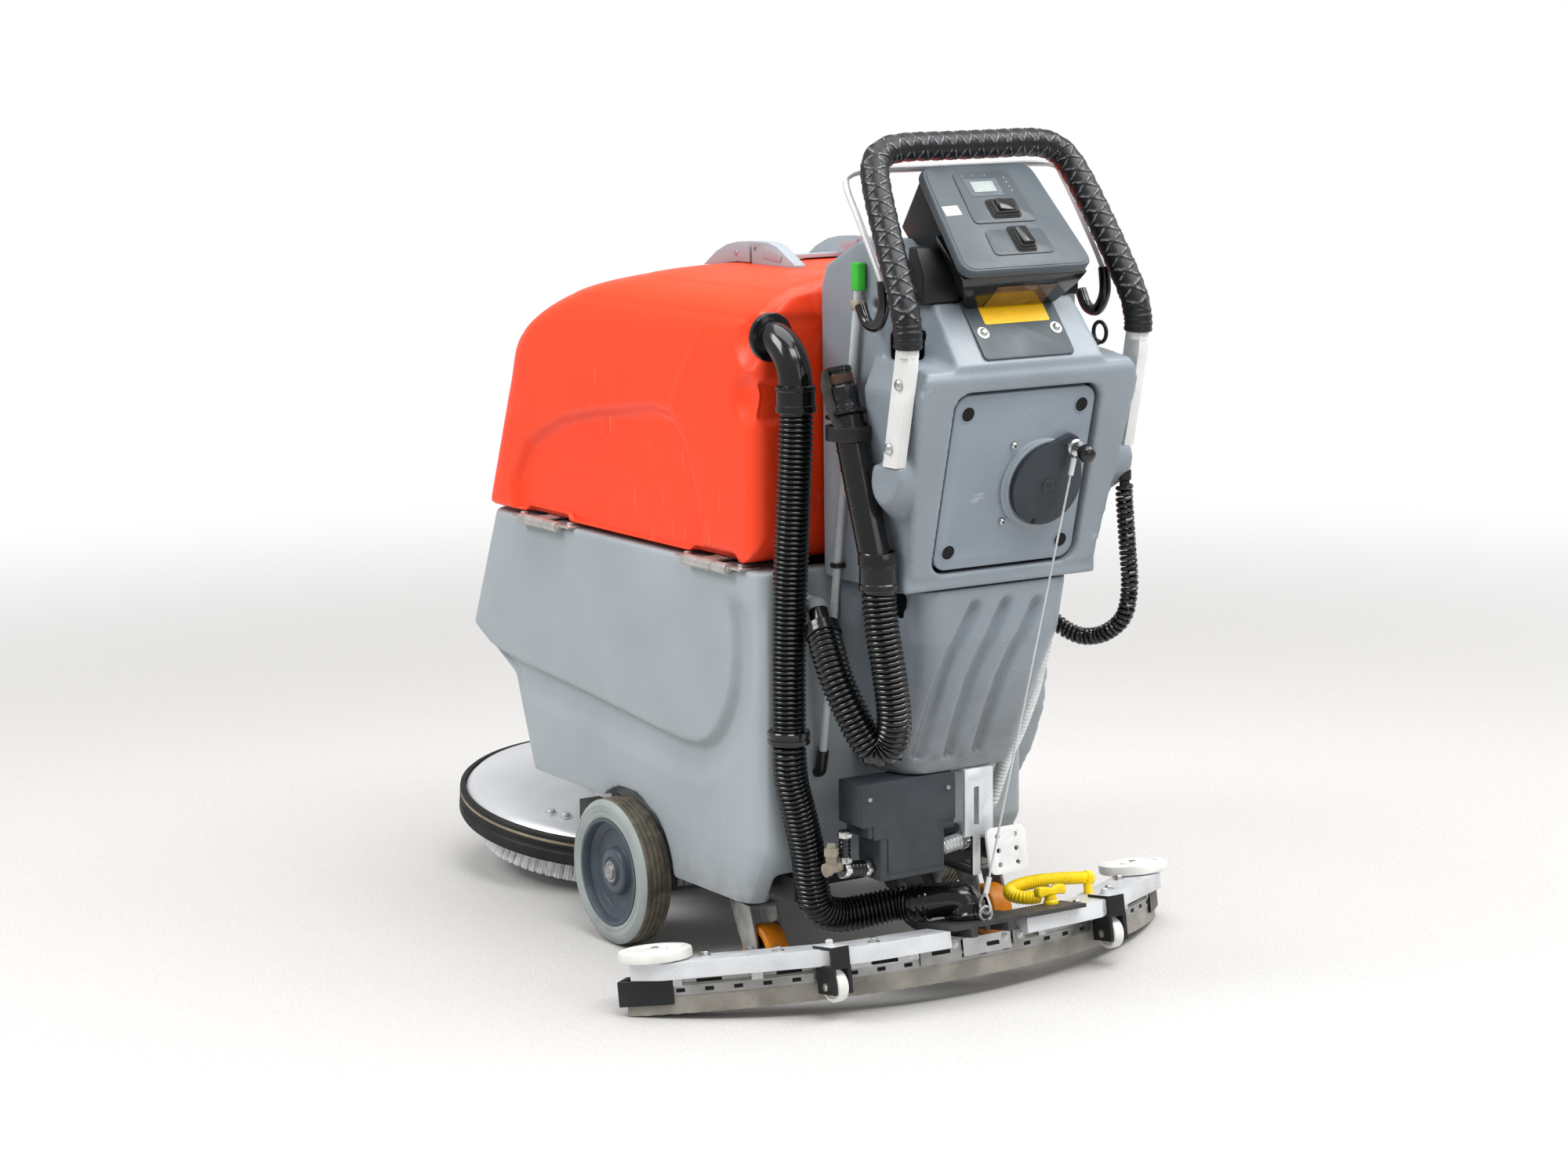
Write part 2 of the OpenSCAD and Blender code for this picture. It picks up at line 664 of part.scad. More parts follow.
module right_tyre() {
    color([0.62, 0.67, 0.65]) place() translate([wheel_x, 0, wheel_r]) tyre();
}

module right_hub() {
    color([0.25, 0.29, 0.33]) place() translate([wheel_x, 0, wheel_r]) hub();
}

module caster_fork(side) {
    r = caster_d / 2;
    color([0.72, 0.74, 0.76]) place() translate([side * caster_x, caster_y, 0]) {
        translate([0, 0, 95]) cylinder(d = 40, h = 14.4);
        translate([0, 0, 100]) cylinder(d = pin_d, h = 14.4);
        translate([-22, -24, 90]) cube([44, 48, 6]);
        for (s = [-1, 1]) translate([s * 20 - 2, 0, 0]) slab(0, 4) polygon([[-24, 94], [24, 94], [8, 60],
            [-caster_trail + 12, r - 10], [-caster_trail - 12, r - 10], [-caster_trail - 12, r + 14]]);
        translate([-24, -caster_trail, r]) rotate([0, 90, 0]) cylinder(d = 10, h = 48);
    }
}

module caster_wheel(side) {
    color([0.90, 0.52, 0.08]) place() translate([side * caster_x, caster_y - caster_trail, caster_d / 2])
        rotate([0, 90, 0]) difference() {
            translate([0, 0, -16]) cylinder(d = caster_d, h = 32);
            translate([0, 0, -20]) cylinder(d = 10 + 2 * fit, h = 40);
        }
}

module left_caster_fork() { caster_fork(-1); }

module left_caster_wheel() { caster_wheel(-1); }

module right_caster_fork() { caster_fork(1); }

module right_caster_wheel() { caster_wheel(1); }

// ---- Brush deck, drawn level with the brush on the floor ----

module deck_arms() {
    color([0.74, 0.75, 0.77]) place() deck_pose() {
        both() {
            slab(111, 119) polygon([[136, 100], [160, 97], [300, 106], [300, 126], [160, 126], [140, 122]]);
            rod([98, deck_pivot[0], deck_pivot[1]], [112, deck_pivot[0], deck_pivot[1]], pin_d);
        }
        translate([-119, 284, 109.3]) cube([238, 16, 16]);
    }
}

module brush_deck() {
    color([0.82, 0.83, 0.85]) place() deck_pose() translate([0, deck_y, 0]) difference() {
        rotate_extrude($fn = 96) polygon([[0, 99], [60, 99], [150, 92], [225, 74], [240, 60], [242, 48],
            [247, 48], [247, 72], [238, 82], [160, 102], [70, 112], [0, 112]]);
        translate([0, 0, 60]) cylinder(d = 40, h = 80);
    }
}

module deck_bumper() {
    color([0.08, 0.08, 0.08]) place() deck_pose() translate([0, deck_y, 0]) rotate_extrude($fn = 96)
        translate([deck_d / 2 - 8, 36]) {
            translate([0.2, 0]) square([5, 42]);
            translate([0, 5]) square([8, 12]);
            translate([0, 25]) square([8, 12]);
        }
}

module brush_motor() {
    color([0.20, 0.21, 0.23]) place() deck_pose() translate([0, deck_y, 0]) {
        translate([0, 0, 112]) cylinder(d = 150, h = 34);
        translate([0, -30, 146]) cylinder(d = 112, h = 118);
        translate([0, 0, 40]) cylinder(d = 24, h = 74);
    }
}

module deck_spring() {
    color([0.35, 0.35, 0.36]) place() rod([-134, 262, 120], [-134, 176, 125], 18);
}

module brush_disc() {
    color([0.80, 0.82, 0.84]) place() deck_pose() translate([0, deck_y, 0]) difference() {
        translate([0, 0, 36]) cylinder(d = brush_d - 16, h = 16, $fn = 96);
        translate([0, 0, 30]) cylinder(d = 24 + 2 * fit, h = 40);
    }
}

module bristles() {
    color([0.94, 0.95, 0.96]) place() deck_pose() translate([0, deck_y, 0]) rotate_extrude($fn = 96)
        polygon([[70, 1], [brush_d / 2, 1], [brush_d / 2 - 10, 36], [80, 36]]);
}

// ---- Squeegee, drawn level with its blades on the floor ----

// Plan ring of the squeegee's curve between two radii and out to an end angle
module blade_arc(r0, r1, end) {
    translate([0, blade_cy]) intersection() {
        difference() {
            circle(r = r1, $fn = 240);
            circle(r = r0, $fn = 240);
        }
        polygon([[0, 0], [-900 * sin(end), -900 * cos(end)], [0, -1400],
            [900 * sin(end), -900 * cos(end)]]);
    }
}

module squeegee_arm() {
    color([0.18, 0.19, 0.20]) place() squeegee_pose() {
        both() {
            slab(24, 34) polygon([[-297, 130], [-297, 152], [-322, 152], [-352, 96], [-372, 74],
                [-398, 67.5], [-500, 68.5], [-500, 56], [-384, 54], [-350, 66], [-330, 96]]);
            rod([25, squeegee_pivot[0], squeegee_pivot[1]], [45, squeegee_pivot[0], squeegee_pivot[1]],
                pin_d);
        }
        translate([-59, -500, 68]) cube([118, 82, 5]);
        translate([50, -500, 68]) cube([100, 56, 5]);
        // eye bolt that the wire rope pulls on
        translate([0, -487, 81]) rotate([90, 0, 0]) rotate_extrude() translate([9, 0]) circle(d = 4.6);
        translate([0, -487, 60]) cylinder(d = 9, h = 14);
    }
}

module squeegee_frame() {
    x0 = 190;
    color([0.80, 0.81, 0.83]) place() squeegee_pose() both() {
        // straight beam from the blade's middle part out to the bumper disc
        translate([0, 0, 47]) linear_extrude(21) polygon([[60, -492], [140, -486], [x0, -478], [398, -340],
            [420, -300], [380, -268], [352, -300], [x0 - 10, -420], [60, -440]]);
        // fork that carries the support wheel
        translate([217, 0, 0]) {
            translate([-13, -472, 67.5]) cube([26, 40, 5]);
            translate([-13, -476, 44]) cube([26, 6, 28.5]);
            for (s = [-1, 1]) translate([s * 11.5 - 2.5, -476, 12]) cube([5, 38, 35.5]);
            translate([-13, -457, 21.5]) rotate([0, 90, 0]) cylinder(d = 6, h = 26);
        }
        // pin that the bumper disc turns on
        translate([382, -302, 60]) cylinder(d = 10, h = 24);
    }
}

module blade_channel() {
    color([0.66, 0.66, 0.65]) place() squeegee_pose() {
        translate([0, 0, 26]) linear_extrude(20.6) difference() {
            blade_arc(squeegee_r - 30, squeegee_r - 3, blade_end - 1);
            blade_arc(squeegee_r - 26, squeegee_r - 7, blade_end - 2);
        }
        translate([0, 0, 43]) linear_extrude(3.6) blade_arc(squeegee_r - 30, squeegee_r - 3, blade_end - 1);
    }
}

module squeegee_blades() {
    color([0.62, 0.60, 0.56]) place() difference() {
        squeegee_pose() translate([0, 0, 1]) linear_extrude(38) {
            blade_arc(squeegee_r - 2.8, squeegee_r, blade_end);
            blade_arc(squeegee_r - 33, squeegee_r - 30.2, blade_end);
        }
        // the ends ahead of the pivot are trimmed clear of the floor
        translate([-500, -360, -20]) cube([1000, 160, 21]);
    }
}

module squeegee_end_caps() {
    color([0.07, 0.07, 0.08]) place() squeegee_pose() both() translate([0, 0, 14]) linear_extrude(32)
        difference() {
            blade_arc(squeegee_r - 36, squeegee_r + 4, blade_end + 1);
            blade_arc(squeegee_r - 34, squeegee_r + 0.4, blade_end + 0.1);
            translate([-1000, -1000]) square([1000 + 380, 2000]);
        }
}

module bumper_disc(side) {
    color([0.94, 0.94, 0.93]) place() squeegee_pose() translate([side * 382, -302, 69]) difference() {
        cylinder(d = bumper_d, h = 14, $fn = 64);
        translate([0, 0, -1]) cylinder(d = 10 + 2 * fit, h = 30);
    }
}

module left_bumper_disc() { bumper_disc(-1); }

module right_bumper_disc() { bumper_disc(1); }

module support_wheel(side) {
    color([0.93, 0.93, 0.92]) place() squeegee_pose() translate([side * 217, -457, 21.5]) rotate([0, 90, 0])
        difference() {
            translate([0, 0, -8]) cylinder(d = 41, h = 16);
            translate([0, 0, -20]) cylinder(d = 6 + 2 * fit, h = 40);
        }
}

module left_support_wheel() { support_wheel(-1); }

module right_support_wheel() { support_wheel(1); }

module suction_port() {
    color([0.07, 0.07, 0.08]) place() squeegee_pose() {
        translate([0, -451, 73.1]) cylinder(d = 50, h = 8);
        translate([-3.7, -448, 80]) cylinder(d = 46, h = 15);
        rod([-3.7, -448, 97.9], [-50, -398, 97], 46);
    }
}

module hand_knobs() {
    color([0.98, 0.85, 0.05]) place() squeegee_pose() {
        translate([126, -456, 73.1]) cylinder(d = 20, h = 14);
        translate([126, -456, 90]) cube([44, 13, 13], center = true);
        rod([115, -388, 88], [236, -398, 88], 20);
        translate([228, -402, 68.1]) cylinder(d = 12, h = 16);
    }
}

// ---- Lift disc and wire rope ----

module lift_disc() {
    cx = crank_r * cos(crank_angle);
    cy = crank_r * sin(crank_angle);
    color([0.24, 0.27, 0.31]) place() on_door() translate([disc_x, disc_up, 0]) {
        difference() {
            translate([0, 0, 4.6]) linear_extrude(8) hull() {
                circle(r = 52);
                translate([cx, cy]) circle(r = 13);
            }
            translate([-14, -46, 0]) cylinder(d = 7, h = 20);
        }
        translate([0, 0, -12]) cylinder(d = 10, h = 18);
        translate([cx, cy, 12]) cylinder(d = 8, h = 26);
        translate([cx, cy, 44]) sphere(d = 23);
    }
}

module wire_rope() {
    cx = disc_x + crank_r * cos(crank_angle);
    up = disc_up + crank_r * sin(crank_angle) - 9;
    // end of the rope under its upper eye, on the crank pin's plane
    top = [cx - 1, door_at[0] - up * sin(door_lean) - 23 * cos(door_lean),
        door_at[1] + up * cos(door_lean) - 23 * sin(door_lean)];
    color("silver") place() {
        on_door() translate([cx, up + 9, 20]) difference() {
            cylinder(d = 20, h = 6);
            translate([0, 0, -1]) cylinder(d = 8 + 2 * fit, h = 8);
        }
        rod(top, [thimble_at[0], thimble_at[1], thimble_at[2] + 11], 3);
        // thimble through the eye bolt
        translate(thimble_at) rotate([0, 90, 0]) difference() {
            cylinder(d = 26, h = 4, center = true);
            cylinder(d = 20, h = 8, center = true);
        }
    }
}

// ---- Pedal ----

module lift_pedal() {
    color([0.90, 0.90, 0.89]) place() {
        translate([40, -482, 184]) rotate([78, 0, 0]) linear_extrude(5) difference() {
            rounded(60, 60, 10);
            for (x = [-14, 14], y = [-18, 0, 18]) translate([x, y]) circle(d = 7);
        }
        slab(46, 53) polygon([[-485, 174], [-480, 196], [-390, 184], [-340, 173], [-340, 158], [-390, 166]]);
        rod([46, pedal_pivot[0], pedal_pivot[1]], [64, pedal_pivot[0], pedal_pivot[1]], 10);
    }
}

chassis_frame();
solution_tank();
rear_tank();
rear_housing();
access_door();
screws();
console_neck();
control_panel();
handle_frame();
handle_grip();
batteries();
suction_motor();
valve_box();
level_gauge();
hose_clip();
hose_coupling();
drain_hose();
drain_nozzle();
coiled_cable();
clear_hoses();
hinge_leaves();
suction_hose_upper();
suction_hose_lower();
recovery_tank();
hinge_straps();
tank_elbow();
lid_hinge_base();
tank_lid();
bail();
upper_switch();
lower_switch();
left_tyre();
left_hub();
right_tyre();
right_hub();
left_caster_fork();
left_caster_wheel();
right_caster_fork();
right_caster_wheel();
deck_arms();
brush_deck();
deck_bumper();
brush_motor();
deck_spring();
brush_disc();
bristles();
squeegee_arm();
squeegee_frame();
blade_channel();
squeegee_blades();
squeegee_end_caps();
left_bumper_disc();
right_bumper_disc();
left_support_wheel();
right_support_wheel();
suction_port();
hand_knobs();
lift_disc();
wire_rope();
lift_pedal();
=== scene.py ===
import bpy, bmesh, math
import numpy as np
from mathutils import Matrix, Vector


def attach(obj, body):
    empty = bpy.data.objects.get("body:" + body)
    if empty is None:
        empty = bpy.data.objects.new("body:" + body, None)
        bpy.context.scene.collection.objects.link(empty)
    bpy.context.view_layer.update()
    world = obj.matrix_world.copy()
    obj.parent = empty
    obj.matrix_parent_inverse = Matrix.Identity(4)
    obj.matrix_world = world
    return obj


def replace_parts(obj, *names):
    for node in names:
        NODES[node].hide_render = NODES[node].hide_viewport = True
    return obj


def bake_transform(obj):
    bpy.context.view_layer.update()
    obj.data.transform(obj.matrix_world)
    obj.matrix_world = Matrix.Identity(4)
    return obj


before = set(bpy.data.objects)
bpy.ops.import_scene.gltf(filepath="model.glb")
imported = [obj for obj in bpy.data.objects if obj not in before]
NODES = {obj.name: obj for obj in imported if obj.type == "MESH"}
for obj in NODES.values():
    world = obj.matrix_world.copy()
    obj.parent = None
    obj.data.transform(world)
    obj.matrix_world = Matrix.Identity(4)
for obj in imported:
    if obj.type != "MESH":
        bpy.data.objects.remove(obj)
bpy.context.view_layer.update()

SIDES = ((-1, "left"), (1, "right"))
UP = (0, 0, 1)
ACROSS = (1, 0, 0)
TAU = 2 * math.pi
deg = math.radians

# ---------------------------------------------------------------- places
# Lengths below are millimetres, measured from the main axle; metres() gives metres in the row frame.

AXLE_Y = -17.14
ARM_PIVOT, ARM_RAISE = (-310, 140), 8.5
DECK_PIVOT, DECK_RAISE = (150, 110), 7


def metres(p):
    return Vector((p[0] / 1000, (p[1] + AXLE_Y) / 1000, p[2] / 1000))


def turn(y, z, pivot, angle):
    """A y and z turned about a pivot by an angle in degrees."""
    c, s = math.cos(deg(angle)), math.sin(deg(angle))
    dy, dz = y - pivot[0], z - pivot[1]
    return pivot[0] + c * dy - s * dz, pivot[1] + s * dy + c * dz


def plain(p):
    return p


def squeegee(p):
    """From where the squeegee stands when lowered to where it rests, raised."""
    return (p[0], *turn(p[1], p[2], ARM_PIVOT, -ARM_RAISE))


def lowered(p):
    """The y and z that a point of the raised squeegee has when it is lowered."""
    return turn(p[1], p[2], ARM_PIVOT, ARM_RAISE)


def deck(p):
    """From where the deck stands when lowered to where it rests, raised."""
    return (p[0], *turn(p[1], p[2], DECK_PIVOT, DECK_RAISE))


def tilted(y0, z0, angle):
    """Places the x, y and height of a plane that leans back from level by angle."""
    c, s = math.cos(deg(angle)), math.sin(deg(angle))

    def place(p):
        return (p[0], y0 + p[1] * c - p[2] * s, z0 + p[1] * s + p[2] * c)
    return place


def facing(place):
    """The direction that a tilted plane faces."""
    return tuple(Vector(place(UP)) - Vector(place((0, 0, 0))))


door = tilted(-557, 675, 104)
panel = tilted(-532, 996, 46)
head = tilted(-561.4, 861, 51.53)
DOOR_N = facing(door)


def inner(obj):
    """A piece's vertices in millimetres from the main axle."""
    co = np.zeros(len(obj.data.vertices) * 3)
    obj.data.vertices.foreach_get("co", co)
    co = co.reshape(-1, 3) * 1000
    co[:, 1] -= AXLE_Y
    return co


def set_inner(obj, co):
    out = co.copy()
    out[:, 1] += AXLE_Y
    obj.data.vertices.foreach_set("co", (out / 1000).reshape(-1))
    obj.data.update()


# ---------------------------------------------------------------- materials


def lin(rgb):
    """A colour of 0 to 255 as the linear colour that Blender takes."""
    shares = [c / 255 for c in rgb]
    return tuple(s / 12.92 if s <= 10 / 255 else ((s + 0.055) / 1.055) ** 2.4 for s in shares) + (1.0,)


def feed(tree, made, inputs):
    """Sets a node's inputs; each takes a value or another node's output."""
    for key, value in inputs.items():
        if isinstance(value, bpy.types.NodeSocket):
            tree.links.new(value, made.inputs[key])
        else:
            made.inputs[key].default_value = value
    return made


def shader(tree, kind, inputs):
    return feed(tree, tree.nodes.new("ShaderNode" + kind), inputs)


def maths(tree, operation, one, other):
    made = shader(tree, "Math", {0: one, 1: other})
    made.operation = operation
    return made.outputs[0]


def noise(tree, at, scale, detail=4.0):
    return shader(tree, "TexNoise", {"Vector": at, "Scale": scale, "Detail": detail}).outputs["Fac"]


def span(tree, value, low, high, out_low=0.0, out_high=1.0):
    ends = {"From Min": low, "From Max": high, "To Min": out_low, "To Max": out_high}
    return shader(tree, "MapRange", {"Value": value, **ends}).outputs["Result"]


def mix(tree, share, one, other):
    made = tree.nodes.new("ShaderNodeMix")
    made.data_type = "RGBA"
    return feed(tree, made, {"Factor": share, 6: one, 7: other}).outputs[2]


def seen_rays(tree):
    """1 for rays from the camera and rays that come through glass."""
    rays = tree.nodes.new("ShaderNodeLightPath").outputs
    return maths(tree, "MAXIMUM", rays["Is Camera Ray"], rays["Is Transmission Ray"])


SCUFF_RGB, DIRT_RGB = (225, 225, 222), (92, 84, 74)
GRAIN_DEPTH = 0.0004
PLASTIC_IOR = 1.45
# the usual slot name of each material; slotted() looks it up but does not give it to the piece
USUAL_SLOT = {}


def material(name, slot, rgb, rough=0.5, metal=0.0, vary=0.06, vary_scale=7.0, grain=0.0, grain_scale=900.0,
             dirt=0.0, dirt_rgb=DIRT_RGB, dirt_z=(0.0, 0.3), scuff=0.0, scuff_rgb=SCUFF_RGB, coat=0.0,
             spec=0.5, transmission=0.0, rough_vary=0.12):
    """A colour with broad shifts, scuffs, dirt low down, uneven gloss and a fine grain."""
    m = bpy.data.materials.new(name)
    m.use_nodes = True
    t = m.node_tree
    at = t.nodes.new("ShaderNodeTexCoord").outputs["Object"]
    base = lin(rgb)
    dark = tuple(c * (1 - 2.2 * vary) for c in base[:3]) + (1.0,)
    light = tuple(min(1, c * (1 + 1.1 * vary)) for c in base[:3]) + (1.0,)
    colour = mix(t, span(t, noise(t, at, vary_scale, 6.0), 0.34, 0.66), dark, light)
    if scuff:
        strokes = {"Vector": at, "Scale": (1.0, 9.0, 0.7), "Rotation": (0.5, 0.35, 0.8)}
        along = shader(t, "Mapping", strokes).outputs["Vector"]
        fine = span(t, noise(t, along, 26, 3.0), 0.66, 0.71, 0, scuff)
        patches = span(t, noise(t, at, 6, 2.0), 0.5, 0.62)
        colour = mix(t, maths(t, "MULTIPLY", fine, patches), colour, lin(scuff_rgb))
    if dirt:
        height = shader(t, "SeparateXYZ", {0: at}).outputs["Z"]
        low = span(t, height, dirt_z[1], dirt_z[0], 0, dirt)
        spots = span(t, noise(t, at, 38, 8.0), 0.36, 0.62, 0.25, 1.0)
        colour = mix(t, maths(t, "MULTIPLY", low, spots), colour, lin(dirt_rgb))
    least, most = max(0.02, rough - rough_vary), min(1, rough + rough_vary)
    gloss = span(t, noise(t, at, vary_scale * 3.1, 6.0), 0.3, 0.7, least, most)
    skin = {"Base Color": colour, "Roughness": gloss, "Metallic": metal, "Specular IOR Level": spec,
            "IOR": PLASTIC_IOR, "Transmission Weight": transmission}
    if coat:
        skin.update({"Coat Weight": coat, "Coat Roughness": 0.1})
    if grain:
        rise = noise(t, at, grain_scale, 3.0)
        bump = shader(t, "Bump", {"Strength": grain, "Distance": GRAIN_DEPTH, "Height": rise})
        skin["Normal"] = bump.outputs["Normal"]
    feed(t, t.nodes["Principled BSDF"], skin)
    USUAL_SLOT[m.name] = slot
    return m


ORANGE = material("orange_plastic", "orange_tank", (250, 66, 22), 0.38, vary=0.03, vary_scale=4, grain=0.22,
    grain_scale=520, scuff=0.3, scuff_rgb=(255, 170, 130), rough_vary=0.08, spec=0.45)
GREY = material("grey_plastic", "grey_tank", (158, 166, 171), 0.5, vary=0.04, vary_scale=5, grain=0.3,
    grain_scale=600, dirt=0.4, dirt_z=(0.09, 0.17), scuff=0.2, scuff_rgb=(205, 208, 208), rough_vary=0.1)
# the grey tank plastic made darker for the rear tank and housing: painted shade for rear-facing surfaces,
# with its own dirt, scuffs and gloss
GREY_REAR_SHADED = material("grey_plastic_rear_shaded", "grey_tank", (134, 143, 151), 0.36, vary=0.05, vary_scale=6,
    grain=0.45, grain_scale=480, dirt=0.5, dirt_z=(0.27, 0.45), scuff=0.3, scuff_rgb=(196, 200, 201))
# the grey tank plastic made darker for the rear-facing door: painted shade
GREY_DOOR_SHADED = material("door_plastic_shaded", "grey_tank", (133, 144, 154), 0.38, vary=0.05, grain=0.5,
    grain_scale=420, scuff=0.4, scuff_rgb=(185, 190, 192))
GREY_LID = material("lid_plastic", "grey_tank", (150, 158, 165), 0.5, vary=0.05, grain=0.3, scuff=0.3)
DARK = material("panel_plastic", "dark_panel", (72, 81, 87), 0.42, vary=0.05, grain=0.4, grain_scale=700,
    scuff=0.3, scuff_rgb=(120, 130, 138))
DARKER = material("island_plastic", "dark_panel", (63, 71, 77), 0.4, vary=0.05, grain=0.4, grain_scale=700)
DISC = material("disc_plastic", "dark_panel", (44, 51, 58), 0.5, vary=0.06, grain=0.5, grain_scale=420,
    scuff=0.3, scuff_rgb=(110, 120, 130))
BLACK = material("black_plastic", "black_plastic", (19, 20, 22), 0.42, vary=0.12, grain=0.2, scuff=0.25,
    scuff_rgb=(80, 80, 80))
GLOSS = material("gloss_black", "black_plastic", (12, 13, 15), 0.18, vary=0.1, coat=0.3, scuff=0.12,
    scuff_rgb=(66, 66, 66), rough_vary=0.08)
HOSE = material("hose_plastic", "black_plastic", (12, 13, 14), 0.17, vary=0.12, vary_scale=24, scuff=0.1,
    scuff_rgb=(80, 78, 74), dirt=0.08, dirt_z=(0.05, 0.30), dirt_rgb=(80, 76, 68), coat=0.3, rough_vary=0.06)
RUBBER = material("black_rubber", "black_rubber", (20, 20, 21), 0.62, vary=0.15, grain=0.5, grain_scale=500)
GRIP = material("grip_wrap", "black_rubber", (14, 15, 18), 0.38, vary=0.08, vary_scale=30, grain=0.04,
    grain_scale=900, rough_vary=0.04)
# painted glints: a lighter, glossier grey laid along the grip's ridge tops
GRIP_GLINT_PAINT = material("grip_painted_glints", "black_rubber", (112, 115, 121), 0.28, vary=0.2, vary_scale=60,
    rough_vary=0.04)
VALVE = material("valve_plate", "black_plastic", (50, 57, 64), 0.45, vary=0.12, vary_scale=18, grain=0.3,
    dirt=0.35, dirt_z=(0.14, 0.33), dirt_rgb=(82, 80, 76))
FRAME = material("frame_paint", "frame_steel", (44, 46, 49), 0.5, vary=0.15, vary_scale=16, grain=0.3,
    dirt=0.6, dirt_z=(0.03, 0.16), dirt_rgb=(96, 88, 78))
WHITE_PAINT = material("white_paint", "white_paint", (222, 223, 221), 0.38, vary=0.04, vary_scale=20,
    grain=0.2, scuff=0.5, scuff_rgb=(150, 150, 148))
STEEL = material("plain_steel", "steel", (196, 197, 197), 0.28, metal=1.0, vary=0.08, vary_scale=30,
    rough_vary=0.1)
DULL_STEEL = material("dull_steel", "steel", (172, 172, 171), 0.36, metal=0.8, vary=0.12, vary_scale=22,
    dirt=0.35, dirt_z=(0.0, 0.2), rough_vary=0.14)
NICKEL = material("nickel", "steel", (186, 184, 180), 0.3, metal=0.5, vary=0.08, vary_scale=40,
    rough_vary=0.06)
WIRE = material("satin_wire", "steel", (208, 210, 211), 0.34, metal=0.3, vary=0.05, vary_scale=20,
    rough_vary=0.06)
ALU = material("satin_metal", "aluminium", (222, 225, 228), 0.36, metal=0.4, vary=0.05, vary_scale=14,
    grain=0.06, grain_scale=650, dirt=0.25, dirt_z=(0.02, 0.09))
DECK = material("deck_metal", "aluminium", (228, 230, 233), 0.32, metal=0.4, vary=0.03, vary_scale=10,
    grain=0.02, grain_scale=600, rough_vary=0.03)
TYRE = material("grey_tyre", "grey_tyre", (152, 160, 158), 0.66, vary=0.07, vary_scale=18, grain=0.4,
    grain_scale=420, dirt=0.35, dirt_z=(0.0, 0.05), scuff=0.25, scuff_rgb=(190, 190, 180))
TREAD = material("tread", "grey_tyre", (98, 92, 80), 0.85, vary=0.25, vary_scale=40, grain=0.9,
    grain_scale=300)
HUB = material("hub_plastic", "hub_plastic", (70, 80, 90), 0.42, vary=0.08, vary_scale=20, grain=0.25,
    scuff=0.35, scuff_rgb=(120, 126, 130))
URETHANE = material("orange_tread", "orange_tread", (222, 132, 12), 0.42, vary=0.12, vary_scale=30,
    dirt=0.4, dirt_z=(0, 0.05))
BRISTLE = material("bristle", "bristle", (240, 241, 243), 0.5, vary=0.08, vary_scale=60, rough_vary=0.1)
WHITE = material("white_plastic", "white_plastic", (232, 231, 226), 0.4, vary=0.06, vary_scale=26,
    grain=0.25, scuff=0.45, scuff_rgb=(170, 160, 145))
YELLOW = material("yellow_plastic", "yellow_plastic", (246, 212, 8), 0.38, vary=0.05, vary_scale=30,
    grain=0.15)
YELLOW_LABEL = material("yellow_patch", "yellow_plastic", (246, 190, 12), 0.4, vary=0.03, vary_scale=40)
GREEN = material("green_cap", "yellow_plastic", (52, 178, 46), 0.4, vary=0.06, vary_scale=40)
BLADE = material("blade_rubber", "blade_rubber", (172, 167, 158), 0.36, vary=0.16, vary_scale=22,
    transmission=0.25, dirt=0.4, dirt_z=(0.0, 0.05), dirt_rgb=(120, 110, 95))
CLEAR = material("clear_tube", "clear_tube", (222, 227, 228), 0.16, vary=0.06, vary_scale=40, metal=0.25,
    coat=0.5)
GAUGE = material("gauge_tube", "clear_tube", (190, 195, 195), 0.3, vary=0.05, vary_scale=30)
SMOKE = material("smoked_window", "dark_panel", (98, 70, 38), 0.14, vary=0.22, vary_scale=24, spec=0.6,
    coat=0.4)
LCD = material("display_glass", "clear_tube", (150, 160, 158), 0.4, vary=0.05, vary_scale=60, spec=0.3)
LED = material("led_window", "clear_tube", (120, 128, 132), 0.3, vary=0.05)
STICKER = material("blank_sticker", "white_plastic", (192, 193, 192), 0.5, vary=0.03, vary_scale=60)
DUSTY = material("dusty_fitting", "white_plastic", (150, 142, 126), 0.6, vary=0.16, vary_scale=40, grain=0.4)
LEVER = material("dusty_lever", "black_plastic", (58, 55, 50), 0.6, vary=0.3, vary_scale=40, grain=0.5,
    scuff=0.5, scuff_rgb=(104, 98, 86))
BEIGE = material("beige_strip", "black_rubber", (150, 138, 118), 0.7, vary=0.12, vary_scale=30)
# painted shade: a near-black that stands for the shade deep in gaps, holes and slots
SHADOW = material("painted_gap_shade", "black_rubber", (16, 16, 17), 0.9, vary=0.1)
BROWN = material("brown_band", "black_plastic", (74, 52, 40), 0.4, vary=0.14, vary_scale=40)

# ---------------------------------------------------------------- making meshes


def slotted(o, mat, slot):
    slot or USUAL_SLOT[mat.name]
    return o


def solid(name, verts, faces, mat, body, slot=None, replaces=(), angle=32, blend=None):
    """A piece from points in millimetres, riding on one body, or with its place baked in and riding on none
    when a blend is given.
    """
    me = bpy.data.meshes.new(name)
    me.from_pydata([tuple(metres(v)) for v in verts], [], faces)
    me.validate()
    me.materials.append(mat)
    o = bpy.data.objects.new(name, me)
    bpy.context.scene.collection.objects.link(o)
    bm = bmesh.new()
    bm.from_mesh(me)
    bmesh.ops.recalc_face_normals(bm, faces=bm.faces)
    bm.to_mesh(me)
    bm.free()
    me.shade_smooth()
    me.set_sharp_from_angle(angle=deg(angle))
    if blend:
        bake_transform(o)
    else:
        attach(o, body)
    slotted(o, mat, slot)
    if replaces:
        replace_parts(o, *replaces)
    return o


def applied(o):
    """Applies an object's modifiers to its mesh."""
    dg = bpy.context.evaluated_depsgraph_get()
    me = bpy.data.meshes.new_from_object(o.evaluated_get(dg))
    old = o.data
    o.modifiers.clear()
    o.data = me
    bpy.data.meshes.remove(old)
    return o


